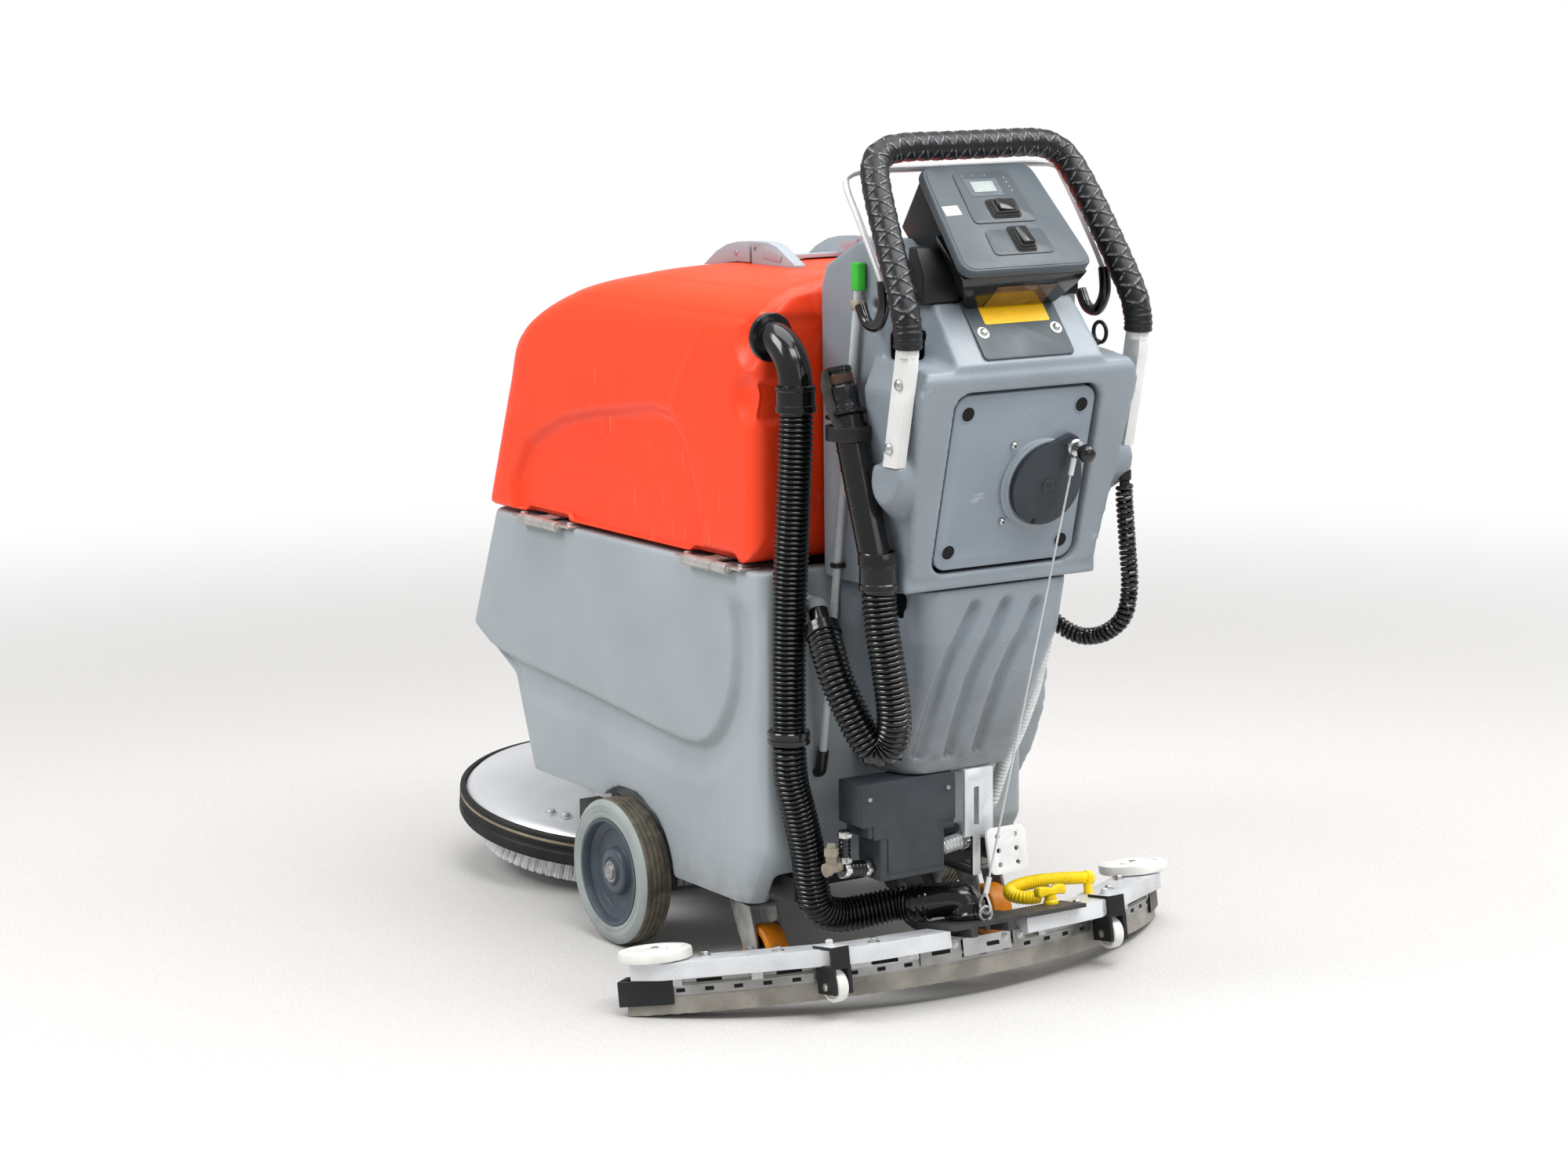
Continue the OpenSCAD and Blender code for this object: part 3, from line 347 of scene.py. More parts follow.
def bevelled(o, width, segments=2, angle=34):
    if width:
        b = o.modifiers.new("bevel", "BEVEL")
        b.width = width / 1000
        b.segments = segments
        b.limit_method = "ANGLE"
        b.angle_limit = deg(angle)
        applied(o)
    o.data.shade_smooth()
    o.data.set_sharp_from_angle(angle=deg(38))
    return o


def smoothed(o, rounds):
    s = o.modifiers.new("smooth", "SMOOTH")
    s.factor = 0.5
    s.iterations = rounds
    return applied(o)


def prism(name, outline, place, lo, hi, mat, body, bevel=0.0, segments=2, **kw):
    """Plate of an outline in a plane's own x and y, from lo to hi along its normal."""
    n = len(outline)
    verts = [place((p[0], p[1], lo)) for p in outline] + [place((p[0], p[1], hi)) for p in outline]
    faces = [list(range(n))[::-1], list(range(n, 2 * n))]
    faces += [[i, (i + 1) % n, n + (i + 1) % n, n + i] for i in range(n)]
    return bevelled(solid(name, verts, faces, mat, body, **kw), bevel, segments)


def arc(cx, cy, r, a0, a1, n):
    turns = [deg(a0 + (a1 - a0) * i / n) for i in range(n + 1)]
    return [(cx + r * math.cos(a), cy + r * math.sin(a)) for a in turns]


def round_rect(w, h, r, cx=0.0, cy=0.0, n=6):
    out = []
    for sx, sy, a in ((1, 1, 0), (-1, 1, 90), (-1, -1, 180), (1, -1, 270)):
        out += arc(cx + sx * (w / 2 - r), cy + sy * (h / 2 - r), r, a, a + 90, n)
    return out


def shifted(outline, dx, dy):
    return [(a + dx, b + dy) for a, b in outline]


def mirrored(half):
    """A profile of (radius, height) whose upper half repeats its lower half."""
    return half + [(r, -h) for r, h in half[::-1]]


def hoop(centre, u, w, r, sides):
    """Points round a circle that lies along the directions u and w."""
    turns = [TAU * i / sides for i in range(sides)]
    return [tuple(centre + u * (r * math.cos(a)) + w * (r * math.sin(a))) for a in turns]


def sleeve(rings, sides):
    """Faces of a tube of rings of points, closed at both ends."""
    faces = []
    for i in range(rings - 1):
        for k in range(sides):
            j = (k + 1) % sides
            faces.append([i * sides + k, i * sides + j, (i + 1) * sides + j, (i + 1) * sides + k])
    return faces + [list(range(sides))[::-1], list(range((rings - 1) * sides, rings * sides))]


def lathe(name, profile, at, axis, mat, body, sides=64, place=plain, closed=False, second=None, over=(),
        **kw):
    """Turns a profile of (radius, height) round an axis; the bands in over get the second material."""
    a = Vector(axis).normalized()
    u = a.orthogonal().normalized()
    w = a.cross(u)
    verts, faces, rings, bands = [], [], [], []
    for r, h in profile:
        c = Vector(at) + a * h
        if r == 0:
            rings.append([len(verts)] * sides)
            verts.append(place(tuple(c)))
        else:
            rings.append(list(range(len(verts), len(verts) + sides)))
            verts += [place(p) for p in hoop(c, u, w, r, sides)]
    pairs = list(zip(rings, rings[1:])) + ([(rings[-1], rings[0])] if closed else [])
    for k, (p, q) in enumerate(pairs):
        for i in range(sides):
            j = (i + 1) % sides
            face = list(dict.fromkeys([p[i], p[j], q[j], q[i]]))
            if len(face) > 2:
                faces.append(face)
                bands.append(k)
    if not closed:
        for end, k in ((rings[0], 0), (rings[-1], len(rings) - 2)):
            if len(set(end)) > 1:
                faces.append(list(end))
                bands.append(k)
    o = solid(name, verts, faces, mat, body, **kw)
    if second:
        o.data.materials.append(second)
        for face, k in zip(o.data.polygons, bands):
            face.material_index = int(k in over)
    return o


def spline(points, step):
    """Smooth line through points, cut into even steps, and its length."""
    p = [Vector(q) for q in points]
    fine = []
    for i in range(len(p) - 1):
        a, b, c, d = p[max(i - 1, 0)], p[i], p[i + 1], p[min(i + 2, len(p) - 1)]
        for k in range(24):
            t = k / 24
            fine.append(0.5 * (2 * b + (c - a) * t + (2 * a - 5 * b + 4 * c - d) * t * t
                               + (3 * b - a - 3 * c + d) * t ** 3))
    fine.append(p[-1])
    run = [0.0]
    for a, b in zip(fine, fine[1:]):
        run.append(run[-1] + (b - a).length)
    n = max(2, round(run[-1] / step))
    out, k = [], 0
    for i in range(n + 1):
        s = run[-1] * i / n
        while k < len(run) - 2 and run[k + 1] < s:
            k += 1
        f = (s - run[k]) / max(1e-9, run[k + 1] - run[k])
        out.append(fine[k].lerp(fine[k + 1], min(1, f)))
    return out, run[-1]


def axes_along(pts):
    """The direction of a line at each of its points, with two directions square to it."""
    n = Vector(ACROSS)
    out = []
    for i in range(len(pts)):
        t = (pts[min(i + 1, len(pts) - 1)] - pts[max(i - 1, 0)]).normalized()
        n = (n - t * n.dot(t)).normalized()
        out.append((t, n, t.cross(n)))
    return out


def tube(name, points, radius, mat, body, sides=16, step=4.0, place=plain, smooth=True, **kw):
    """Tube along points; radius is a number or a function of the distance run and the whole length."""
    if smooth:
        pts, total = spline(points, step)
    else:
        pts = [Vector(p) for p in points]
        total = sum((b - a).length for a, b in zip(pts, pts[1:]))
    verts, run = [], 0.0
    for i, (p, (t, u, w)) in enumerate(zip(pts, axes_along(pts))):
        if i:
            run += (p - pts[i - 1]).length
        r = radius(run, total) if callable(radius) else radius
        verts += [place(q) for q in hoop(p, u, w, r, sides)]
    return solid(name, verts, sleeve(len(pts), sides), mat, body, **kw)


def rod(name, ends, radius, mat, body, sides=24, **kw):
    """A straight or many-sided bar through its points."""
    return tube(name, ends, radius, mat, body, sides=sides, smooth=False, **kw)


def coil(name, points, big, small, pitch, mat, body, per_turn=14, **kw):
    """A wire of radius small wound round points at radius big."""
    pts, total = spline(points, 2.0)
    ax = axes_along(pts)
    n = int(total / pitch * per_turn)
    line = []
    for i in range(n + 1):
        f = i / n * (len(pts) - 1)
        k = min(int(f), len(pts) - 2)
        u, w = ax[k][1:]
        a = TAU * i / per_turn
        line.append(pts[k].lerp(pts[k + 1], f - k) + u * (big * math.cos(a)) + w * (big * math.sin(a)))
    return rod(name, line, small, mat, body, sides=8, **kw)


def rib_radius(crest, root, pitch, plain_ends, sharp):
    """The radius of a ribbed hose, plain for a length at each end."""
    def r(run, total):
        if run < plain_ends or run > total - plain_ends:
            return root + 0.4 * (crest - root)
        wave = 0.5 + 0.5 * math.cos(TAU * run / pitch)
        return root + (crest - root) * wave ** sharp
    return r


def from_cad(cad, clean):
    """A copy of a CAD piece with its double points merged and then cleaned."""
    me = NODES[cad].data.copy()
    me.name = cad + "_v"
    o = bpy.data.objects.new(me.name, me)
    bpy.context.scene.collection.objects.link(o)
    bm = bmesh.new()
    bm.from_mesh(me)
    bmesh.ops.remove_doubles(bm, verts=bm.verts, dist=1e-6)
    clean(bm)
    bm.to_mesh(me)
    bm.free()
    return o


def coloured(o, mat):
    o.data.materials.clear()
    o.data.materials.append(mat)


def stand_in(o, cad, mat, body):
    """Puts a piece in place of the CAD piece that it was made from."""
    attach(o, body)
    slotted(o, mat, None)
    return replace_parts(o, cad)


def refined(cad, mat, body, width=0.8, segments=2, dissolve=6):
    """The CAD piece with softened edges in place of the CAD node."""
    def flatten(bm):
        bmesh.ops.dissolve_limit(bm, angle_limit=deg(dissolve), verts=bm.verts, edges=bm.edges)
    o = from_cad(cad, flatten)
    coloured(o, mat)
    return stand_in(bevelled(o, width, segments, 36), cad, mat, body)


def painted(o, second, where):
    """Gives the second material to the faces whose middle passes where."""
    o.data.materials.append(second)
    for face in o.data.polygons:
        x, y, z = face.center * 1000
        face.material_index = int(where((x, y - AXLE_Y, z)))
    return o


def keep_largest(bm):
    """Deletes all but the connected part that has the most faces."""
    seen, best = set(), []
    for first in bm.faces:
        if first in seen:
            continue
        part, todo = [], [first]
        seen.add(first)
        while todo:
            face = todo.pop()
            part.append(face)
            for near in (other for edge in face.edges for other in edge.link_faces):
                if near not in seen:
                    seen.add(near)
                    todo.append(near)
        if len(part) > len(best):
            best = part
    keep = set(best)
    bmesh.ops.delete(bm, geom=[face for face in bm.faces if face not in keep], context="FACES")


def moulded(cad, mat, body, voxel, smooth, shape, settle=0):
    """A moulded plastic body: the CAD piece remeshed, smoothed and shaped, in place of the CAD node."""
    o = from_cad(cad, keep_largest)
    r = o.modifiers.new("remesh", "REMESH")
    r.mode = "VOXEL"
    r.voxel_size = voxel / 1000
    smoothed(applied(o), smooth)
    normals = np.zeros(len(o.data.vertices) * 3)
    o.data.vertex_normals.foreach_get("vector", normals)
    set_inner(o, shape(inner(o), normals.reshape(-1, 3)))
    if settle:
        smoothed(o, settle)
    coloured(o, mat)
    o.data.shade_smooth()
    return stand_in(o, cad, mat, body)


def seg_dist(y, z, line):
    """Distance from points to a broken line."""
    best = np.full(y.shape, 1e9)
    for (a0, b0), (a1, b1) in zip(line, line[1:]):
        dy, dz = a1 - a0, b1 - b0
        t = np.clip(((y - a0) * dy + (z - b0) * dz) / (dy * dy + dz * dz), 0, 1)
        best = np.minimum(best, np.hypot(y - a0 - t * dy, z - b0 - t * dz))
    return best


def step01(x, a, b):
    """0 below a and 1 above b, with a smooth rise between."""
    t = np.clip((x - a) / (b - a), 0, 1)
    return t * t * (3 - 2 * t)


# ---------------------------------------------------------------- camera and lamps

YAW, PITCH, ROLL = deg(-32.62), deg(9.70), deg(-0.73)
CAMERA_AT = (-2.5454, -4.0208, 1.2721)
LENS = 80.42

ahead = Vector((-math.sin(YAW) * math.cos(PITCH), math.cos(YAW) * math.cos(PITCH), -math.sin(PITCH)))
level = ahead.cross(Vector(UP)).normalized()
upright = level.cross(ahead)
right = math.cos(ROLL) * level + math.sin(ROLL) * upright
up = math.cos(ROLL) * upright - math.sin(ROLL) * level
cam = bpy.data.cameras.new("camera")
cam.sensor_width = 36
cam.lens = LENS
cam.clip_end = 100
camera = bpy.data.objects.new("camera", cam)
bpy.context.scene.collection.objects.link(camera)
camera.matrix_world = Matrix.Translation(CAMERA_AT) @ Matrix((right, up, -ahead)).transposed().to_4x4()
bpy.context.scene.camera = camera
bpy.context.scene.view_settings.view_transform = "Standard"


def lamp(name, at, aim, size, power):
    d = bpy.data.lights.new(name, "AREA")
    d.shape = "RECTANGLE"
    d.size, d.size_y = size
    d.energy = power
    o = bpy.data.objects.new(name, d)
    bpy.context.scene.collection.objects.link(o)
    o.location = at
    o.rotation_euler = (Vector(aim) - Vector(at)).to_track_quat("-Z", "Y").to_euler()


lamp("key", (-3.0, 0.7, 3.3), (0, 0, 0.55), (1.8, 1.8), 100)
lamp("top", (0.2, 0.1, 4.2), (0, 0, 0.4), (3.2, 3.2), 92)
lamp("rear_top", (-0.3, -2.3, 3.6), (0, -0.5, 0.9), (2.2, 0.9), 60)
lamp("sheen", (1.35, -1.45, 2.8), (0, -0.55, 0.9), (1.7, 1.2), 46)
lamp("fill", (0.6, -4.2, 2.4), (0, 0, 0.5), (2.6, 2.0), 22)
lamp("side", (3.6, -0.6, 2.0), (0, 0, 0.5), (2.0, 2.0), 22)

# ---------------------------------------------------------------- world and floor

WORLD_LIGHT = 0.52
FLOOR_RINGS, FLOOR_SIDES, FLOOR_Z = (1.0, 2.0, 3.2, 4.4, 5.6), 96, -0.0004
FADE_FROM, FADE_TO = 1.5, 4.2
WHITE_LIGHT = (1, 1, 1, 1)

world = bpy.data.worlds.new("world")
bpy.context.scene.world = world
world.use_nodes = True
strength = span(world.node_tree, seen_rays(world.node_tree), 0, 1, WORLD_LIGHT, 1.0)
feed(world.node_tree, world.node_tree.nodes["Background"], {"Color": WHITE_LIGHT, "Strength": strength})


def floor_material():
    """A pale floor that fades to the white background away from the object."""
    m = bpy.data.materials.new("floor")
    m.use_nodes = True
    t = m.node_tree
    at = t.nodes.new("ShaderNodeTexCoord").outputs["Object"]
    grey = span(t, noise(t, at, 420, 3), 0.3, 0.7, 0.50, 0.66)
    tints = {k: maths(t, "MULTIPLY", grey, share) for k, share in enumerate((1.0, 0.985, 0.965))}
    colour = shader(t, "CombineColor", tints).outputs[0]
    away = t.nodes.new("ShaderNodeVectorMath")
    away.operation = "LENGTH"
    feed(t, away, {0: at})
    fade = span(t, away.outputs["Value"], FADE_FROM, FADE_TO)
    fade.node.interpolation_type = "SMOOTHSTEP"
    white = shader(t, "Emission", {"Color": WHITE_LIGHT, "Strength": 1.0}).outputs[0]
    skin = {"Base Color": colour, "Roughness": 0.55, "Specular IOR Level": 0.3}
    plain_floor = feed(t, t.nodes["Principled BSDF"], skin).outputs[0]
    share = maths(t, "MULTIPLY", fade, seen_rays(t))
    both = shader(t, "MixShader", {"Fac": share, 1: plain_floor, 2: white}).outputs[0]
    feed(t, t.nodes["Material Output"], {"Surface": both})
    return m


def make_floor():
    verts = [(0.0, 0.0, FLOOR_Z)]
    for r in FLOOR_RINGS:
        verts += [(x, y, FLOOR_Z) for x, y in arc(0, 0, r, 0, 360, FLOOR_SIDES)[:-1]]
    n = FLOOR_SIDES
    faces = [[0, 1 + i, 1 + (i + 1) % n] for i in range(n)]
    for k in range(len(FLOOR_RINGS) - 1):
        a, b = 1 + k * n, 1 + (k + 1) * n
        faces += [[a + i, b + i, b + (i + 1) % n, a + (i + 1) % n] for i in range(n)]
    me = bpy.data.meshes.new("floor")
    me.from_pydata(verts, [], faces)
    me.materials.append(floor_material())
    floor = bpy.data.objects.new("floor", me)
    bpy.context.scene.collection.objects.link(floor)


make_floor()

# ---------------------------------------------------------------- hoses and the coiled cable

UPPER = [(-214, -393, 756.5), (-214, -393, 735), (-215, -391, 690), (-216, -386, 615), (-217, -379, 530),
    (-218, -375, 440), (-218, -374, 375), (-218, -374, 354)]
LOWER = [(-218, -374, 336), (-218, -374, 320), (-213, -371, 285), (-200, -369, 240), (-186, -365, 190),
    (-177, -360, 145), (-165, -357, 112), (-134, -359, 98), (-96, -370, 101), (-65, -387, 107.8),
    (-50.4, -403, 110.4)]
DRAIN = [(-173, -513, 546), (-173, -513, 530), (-170, -516, 490), (-162, -517, 440), (-153, -514, 384),
    (-151, -503, 352), (-163, -489, 340), (-177, -478, 362), (-190, -466, 398), (-197, -452, 430),
    (-197, -437, 456), (-193, -420, 478)]
CABLE = [(176, -551, 650), (176, -551, 632), (182, -550, 572), (184, -552, 522), (180, -546, 482),
    (170, -522, 458), (158, -494, 450), (146, -474, 456), (133, -462, 468)]
HELIX = [(150, -348, 504), (149, -372, 506), (144, -408, 498), (136, -438, 474), (127, -450, 440),
    (121, -446, 410), (120, -434, 374), (116, -409, 320), (112, -385, 278), (108, -370, 240),
    (105, -362, 218), (104, -348, 206)]


def lay_cord(o, route, step):
    """Works out a hose's or cable's route in even steps and in metres, and keeps nothing."""
    path, total = spline(route, step)
    metres(route[0])
    [metres(p) for p in path]


def free_hose(name, route, cad, body, crest, root, pitch, blend=None):
    ribs = rib_radius(crest, root, pitch, 3.0, 0.55)
    o = tube(name, route, ribs, HOSE, body, sides=28, step=pitch / 8, replaces=(cad,), angle=70, blend=blend)
    lay_cord(o, route, 12.0)


free_hose("upper_suction_hose", UPPER, "suction_hose_upper", None, 22.5, 19.0, 6.4,
    blend=("recovery", "chassis", (-214, -393, 700), (-218, -374, 400)))
free_hose("lower_suction_hose", LOWER, "suction_hose_lower", None, 22.5, 19.0, 6.4,
    blend=("chassis", "squeegee", (-213, -371, 285), (-120, -362, 100)))
free_hose("drain_hose_ribbed", DRAIN, "drain_hose", "chassis", 22.0, 18.8, 6.8)
lay_cord(coil("coiled_cable_v", CABLE, 8.4, 3.2, 6.9, HOSE, "chassis", slot="black_rubber",
    replaces=("coiled_cable",)), CABLE, 10.0)
lathe("outlet_cuff", [(18, 0), (22.6, 0), (23.4, 1.2), (23.4, 7), (22.6, 8.2), (22.6, 15), (21, 16.6),
    (12.6, 17), (12.6, 38)], (-193.2, -420.4, 477.4), (0.19, 0.645, 0.74), GLOSS, "chassis", 40)
lathe("cable_gland", [(0, -6), (5, -6), (6.4, -4), (6.4, 6), (8.6, 8), (8.6, 20), (0, 20)], CABLE[0], UP,
    BLACK, "chassis", 32)
lay_cord(tube("clear_hose", HELIX, rib_radius(9.4, 8.2, 5.6, 8, 0.7), CLEAR, "chassis", sides=24, step=0.8,
    angle=60, replaces=("clear_hoses",)), HELIX, 10.0)

# ---------------------------------------------------------------- tanks and covers

PRESSED = 12.5  # depth of the panels pressed into the tanks' sides
ARCH = [(300, 500), (302, 600), (262, 655), (204, 683), (150, 701), (80, 714), (0, 724), (-80, 732),
    (-128, 728), (-158, 700), (-182, 650), (-198, 600), (-212, 500)]
ARCH_CREASE = [(-215, 866), (-150, 765), (-140, 740)]
# the recovery tank's outline at its levels: height, half width, how far it reaches forward
LEVELS = [(500, 241, 436), (557, 240, 414), (722, 238, 352), (806, 235, 318), (866, 222, 208),
    (898, 184, 84), (916, 112, -60), (922, 20, -230)]
CORNER_Y, CORNER_Z, CORNER_R = -290, 601, 44
ELBOW_X, ELBOW_Z = -212, 760
BLOCK = [(-250, 868), (-250, 960), (-142, 960), (-142, 868)]
PANEL_EDGE = [(520, 700), (520, 372), (400, 352), (293, 338), (190, 331), (99, 324), (0, 315), (-69, 308),
    (-140, 303), (-185, 305), (-215, 316), (-238, 335), (-258, 362), (-272, 395), (-278, 430), (-277, 465),
    (-262, 520), (-250, 700)]
GROOVES = [[(-34, 512), (-40, 500), (-62, 458), (-70, 420), (-72, 389), (-72, 318)],
    [(14, 512), (8, 499), (-14, 452), (-24, 415), (-27, 383), (-29, 316)],
    [(62, 508), (57, 496), (34, 450), (23, 412), (19, 380), (15, 318)]]


def inside(y, z, poly):
    hit = np.zeros(y.shape, bool)
    for (a0, b0), (a1, b1) in zip(poly, poly[1:] + poly[:1]):
        at = a0 + (z - b0) / (b1 - b0 + 1e-9) * (a1 - a0)
        hit ^= ((b0 > z) != (b1 > z)) & (y < at)
    return hit


def signed(y, z, poly):
    """Distance to a closed outline, negative inside it."""
    d = seg_dist(y, z, poly + poly[:1])
    return np.where(inside(y, z, poly), -d, d)


def bow_levels(c, x, y, z):
    """One smooth line through the levels' outlines in place of the CAD's straight slopes."""
    for k in range(1, len(LEVELS) - 3):
        p0, p1, p2, p3 = (np.array(row) for row in LEVELS[k:k + 4])
        band = (z >= p1[0]) & (z < p2[0])
        t = ((z[band] - p1[0]) / (p2[0] - p1[0]))[:, None]
        bow = 0.5 * (p2 - p0 - 2 * (p2 - p1)) * t + 0.5 * (2 * p0 - 5 * p1 + 4 * p2 - p3) * t ** 2
        bow = bow + 0.5 * (3 * p1 - p0 - 3 * p2 + p3) * t ** 3
        wide, reach = (p1 + (p2 - p1) * t)[:, 1], (p1 + (p2 - p1) * t)[:, 2]
        beside = step01(np.abs(x[band]), wide - 70, wide - 20)
        front = step01(y[band], reach - 110, reach - 40)
        c[band, 0] += np.sign(x[band]) * beside * bow[:, 1]
        c[band, 1] += front * bow[:, 2]
        c[band, 2] += np.maximum(beside, front) * bow[:, 0]


def round_lower_corner(c):
    q, h = c[:, 1] - CORNER_Y, c[:, 2] - CORNER_Z
    far = np.hypot(q, h)
    corner = (q < 0) & (h < 0) & (far > CORNER_R)
    c[corner, 1] = CORNER_Y + q[corner] * CORNER_R / far[corner]
    c[corner, 2] = CORNER_Z + h[corner] * CORNER_R / far[corner]


def shape_recovery(c, n):
    x, y, z = c.T.copy()
    side = step01(np.abs(x), 222, 234) * step01(np.abs(n[:, 0]), 0.35, 0.7)
    c[:, 0] -= np.sign(x) * side * PRESSED * (1 - step01(signed(y, z, ARCH), -9, 7))
    crease = np.exp(-(seg_dist(y, z, ARCH_CREASE) / 9) ** 2)
    c[:, 0] += np.sign(x) * side * 1.6 * crease
    bow_levels(c, x, y, z)
    round_lower_corner(c)
    # round recess under the elbow, and a raised block over it
    rear = step01(-n[:, 1], 0.4, 0.8) * (y < -318)
    c[:, 1] += rear * 7 * (1 - step01(np.hypot(x - ELBOW_X, z - ELBOW_Z), 24, 29))
    c[:, 1] -= 3.5 * (1 - step01(signed(x, z, BLOCK), -6, 6)) * rear
    return c


def shape_solution(c, n):
    """A broad groove along the panel's edge, which fades away from it."""
    x, y, z = c.T.copy()
    side = step01(np.abs(x), 226, 236) * step01(np.abs(n[:, 0]), 0.3, 0.7)
    d = signed(y, z, PANEL_EDGE)
    groove = step01(d, -5, 6) * (1 - 0.8 * step01(d, 9, 58)) * (1 - step01(z, 484, 526))
    c[:, 0] -= np.sign(x) * side * PRESSED * groove
    return c


def shape_rear(c, n):
    """Three grooves down the rear, with a low ridge beside two of them."""
    x, y, z = c.T.copy()
    rear = step01(-n[:, 1], 0.3, 0.75) * (y < -425)
    for line in GROOVES:
        c[:, 1] += rear * 11.5 * (1 - step01(seg_dist(x, z, line), 2, 11))
    for line in GROOVES[:2]:
        c[:, 1] -= rear * 2.2 * (1 - step01(seg_dist(x, z, shifted(line, 24, 0)), 3, 12))
    return c


def shape_housing(c, n):
    """The lower bulges of the housing's ears."""
    x, y, z = c.T.copy()
    bulge = np.exp(-((z - 650) / 34) ** 2 - ((y + 525) / 30) ** 2) * step01(np.abs(x), 150, 172)
    c[:, 0] += np.sign(x) * 5 * bulge
    return c


moulded("recovery_tank", ORANGE, "recovery", 3.6, 16, shape_recovery, settle=3)
moulded("solution_tank", GREY, "chassis", 4.0, 5, shape_solution)
moulded("rear_tank", GREY_REAR_SHADED, "chassis", 3.4, 5, shape_rear)
moulded("rear_housing", GREY_REAR_SHADED, "chassis", 3.2, 4, shape_housing)
refined("access_door", GREY_DOOR_SHADED, "chassis", 3.0, 3)
refined("lid_hinge_base", GREY_LID, "recovery", 1.6)
refined("tank_lid", GREY_LID, "lid", 1.4)


def door_gap_shade():
    """A dark ring of painted shade round the door, deep in its gap."""
    outer, within = round_rect(221, 237, 23, n=8), round_rect(205, 221, 18, n=8)
    verts = [door((p[0], p[1], h)) for h in (-20, -16) for p in outer + within]
    k = len(outer)
    faces = []
    for i in range(k):
        j = (i + 1) % k
        faces += [[2 * k + i, 2 * k + j, 3 * k + j, 3 * k + i], [i, k + i, k + j, j],
            [i, j, 2 * k + j, 2 * k + i], [k + i, 3 * k + i, 3 * k + j, k + j]]
    solid("door_gap_shade", verts, faces, SHADOW, "chassis")


door_gap_shade()
for s, tag in SIDES:
    prism("hinge_cover_" + tag, [(-170, 931), (-148, 939), (-122, 940), (-122, 926), (-166, 922)],
        lambda p, s=s: (s * (88 + p[2]), p[0], p[1]), 0.0, 1.2, GREY_LID, "recovery", 0.5)
    lathe("fin_screw_" + tag, [(0, 0), (3.4, 0), (3.4, 0.9), (2.2, 1.6), (0, 1.7)], (s * 88, -57, 929),
        (s, 0, 0), STEEL, "lid", 20)

# ---------------------------------------------------------------- control panel

# each switch's name, its boot's x and y on the panel, and the boot's width and height
SWITCHES = (("upper", 5, 9, 44, 30), ("lower", 8, -40, 30, 40))
BOOT = [(0, 2.2), (0, 3.4), (-1.6, 4.0), (-2.2, 4.4), (-1.6, 5.6), (-3.4, 6.2), (-4.0, 6.6), (-3.4, 7.8),
    (-4.4, 8.6), (-5.4, 9.4)]
ROCKER = [(-13.6, 9.0), (-13.6, 12.2), (-12.2, 13.6), (0, 11.6), (12.0, 10.8), (13.6, 10.0), (13.6, 9.0)]


def trap(w0, w1, y0, y1, r):
    """Rounded four-sided outline, w0 wide at y0 and w1 wide at y1."""
    pts = [Vector(p) for p in ((w1 / 2, y1), (-w1 / 2, y1), (-w0 / 2, y0), (w0 / 2, y0))]
    out = []
    for i, p in enumerate(pts):
        da, db = (pts[i - 1] - p).normalized(), (pts[(i + 1) % 4] - p).normalized()
        out += [tuple(p + da * r * (1 - t / 6) ** 2 + db * r * (t / 6) ** 2) for t in range(7)]
    return out


def switch_boot(name, x, y, w, h):
    """A bellows boot of rounded rings; BOOT gives how far each is set in, and its height."""
    rings = [[panel((*p, up)) for p in round_rect(w + 2 * inset, h + 2 * inset, 5 + inset * 0.5, x, y)]
        for inset, up in BOOT]
    verts = [p for ring in rings for p in ring]
    solid("switch_boot_" + name, verts, sleeve(len(BOOT), len(rings[0])), RUBBER, "chassis", angle=50)


def rocker_cap(name, x, y, w, h):
    """A rocker's cap, which rocks along the boot's longer side."""
    def place(p):
        return panel((x + p[0], y - p[2], p[1])) if w > h else panel((x + p[2], y + p[0], p[1]))
    prism("rocker_cap_" + name, ROCKER, place, -8.6, 8.6, GLOSS, name + "_switch", 0.8,
        replaces=(name + "_switch",))


prism("panel_tray", trap(196, 166, -85, 85, 20), panel, -14, 0, DARK, "chassis", 3.2, 4,
    replaces=("control_panel",))
prism("panel_rim", trap(188, 158, -81, 81, 18), panel, 0.0, 0.9, DARK, "chassis", 0.7)
prism("panel_island_upper", shifted(trap(96, 84, -41, 41, 9), 0, 29), panel, 0.9, 2.3, DARKER, "chassis",
    0.9)
prism("panel_island_lower", shifted(trap(92, 86, -20, 20, 9), 3, -43), panel, 0.9, 2.3, DARKER, "chassis",
    0.9)
prism("display_frame", shifted(trap(50, 50, -14, 14, 3), -7, 44), panel, 2.2, 2.7, HUB, "chassis", 0.3, 1,
    slot="dark_panel")
prism("display", shifted(trap(34, 34, -8.5, 8.5, 1.5), -7, 45), panel, 2.7, 3.2, LCD, "chassis", 0.2, 1)
for i in range(4):
    lathe("status_light_%d" % i, [(0, 0), (1.3, 0), (1.3, 0.5), (0, 0.9)],
        panel((30 + i * 0.8, 58 - 7 * i, 2.3)), facing(panel), LED, "chassis", 14)
for i, x in enumerate((-30, -14, 4)):
    lathe("status_dot_%d" % i, [(0, 0), (1.0, 0), (1.0, 0.4), (0, 0.7)], panel((x, 64, 2.3)), facing(panel),
        LED, "chassis", 12)
prism("blank_sticker", [(-82, 3), (-58, 4), (-59, 19), (-82.5, 18)], panel, 0.9, 1.15, STICKER, "chassis")
for row in SWITCHES:
    switch_boot(*row)
for row in SWITCHES:
    rocker_cap(*row)

# ---------------------------------------------------------------- console neck and head plate

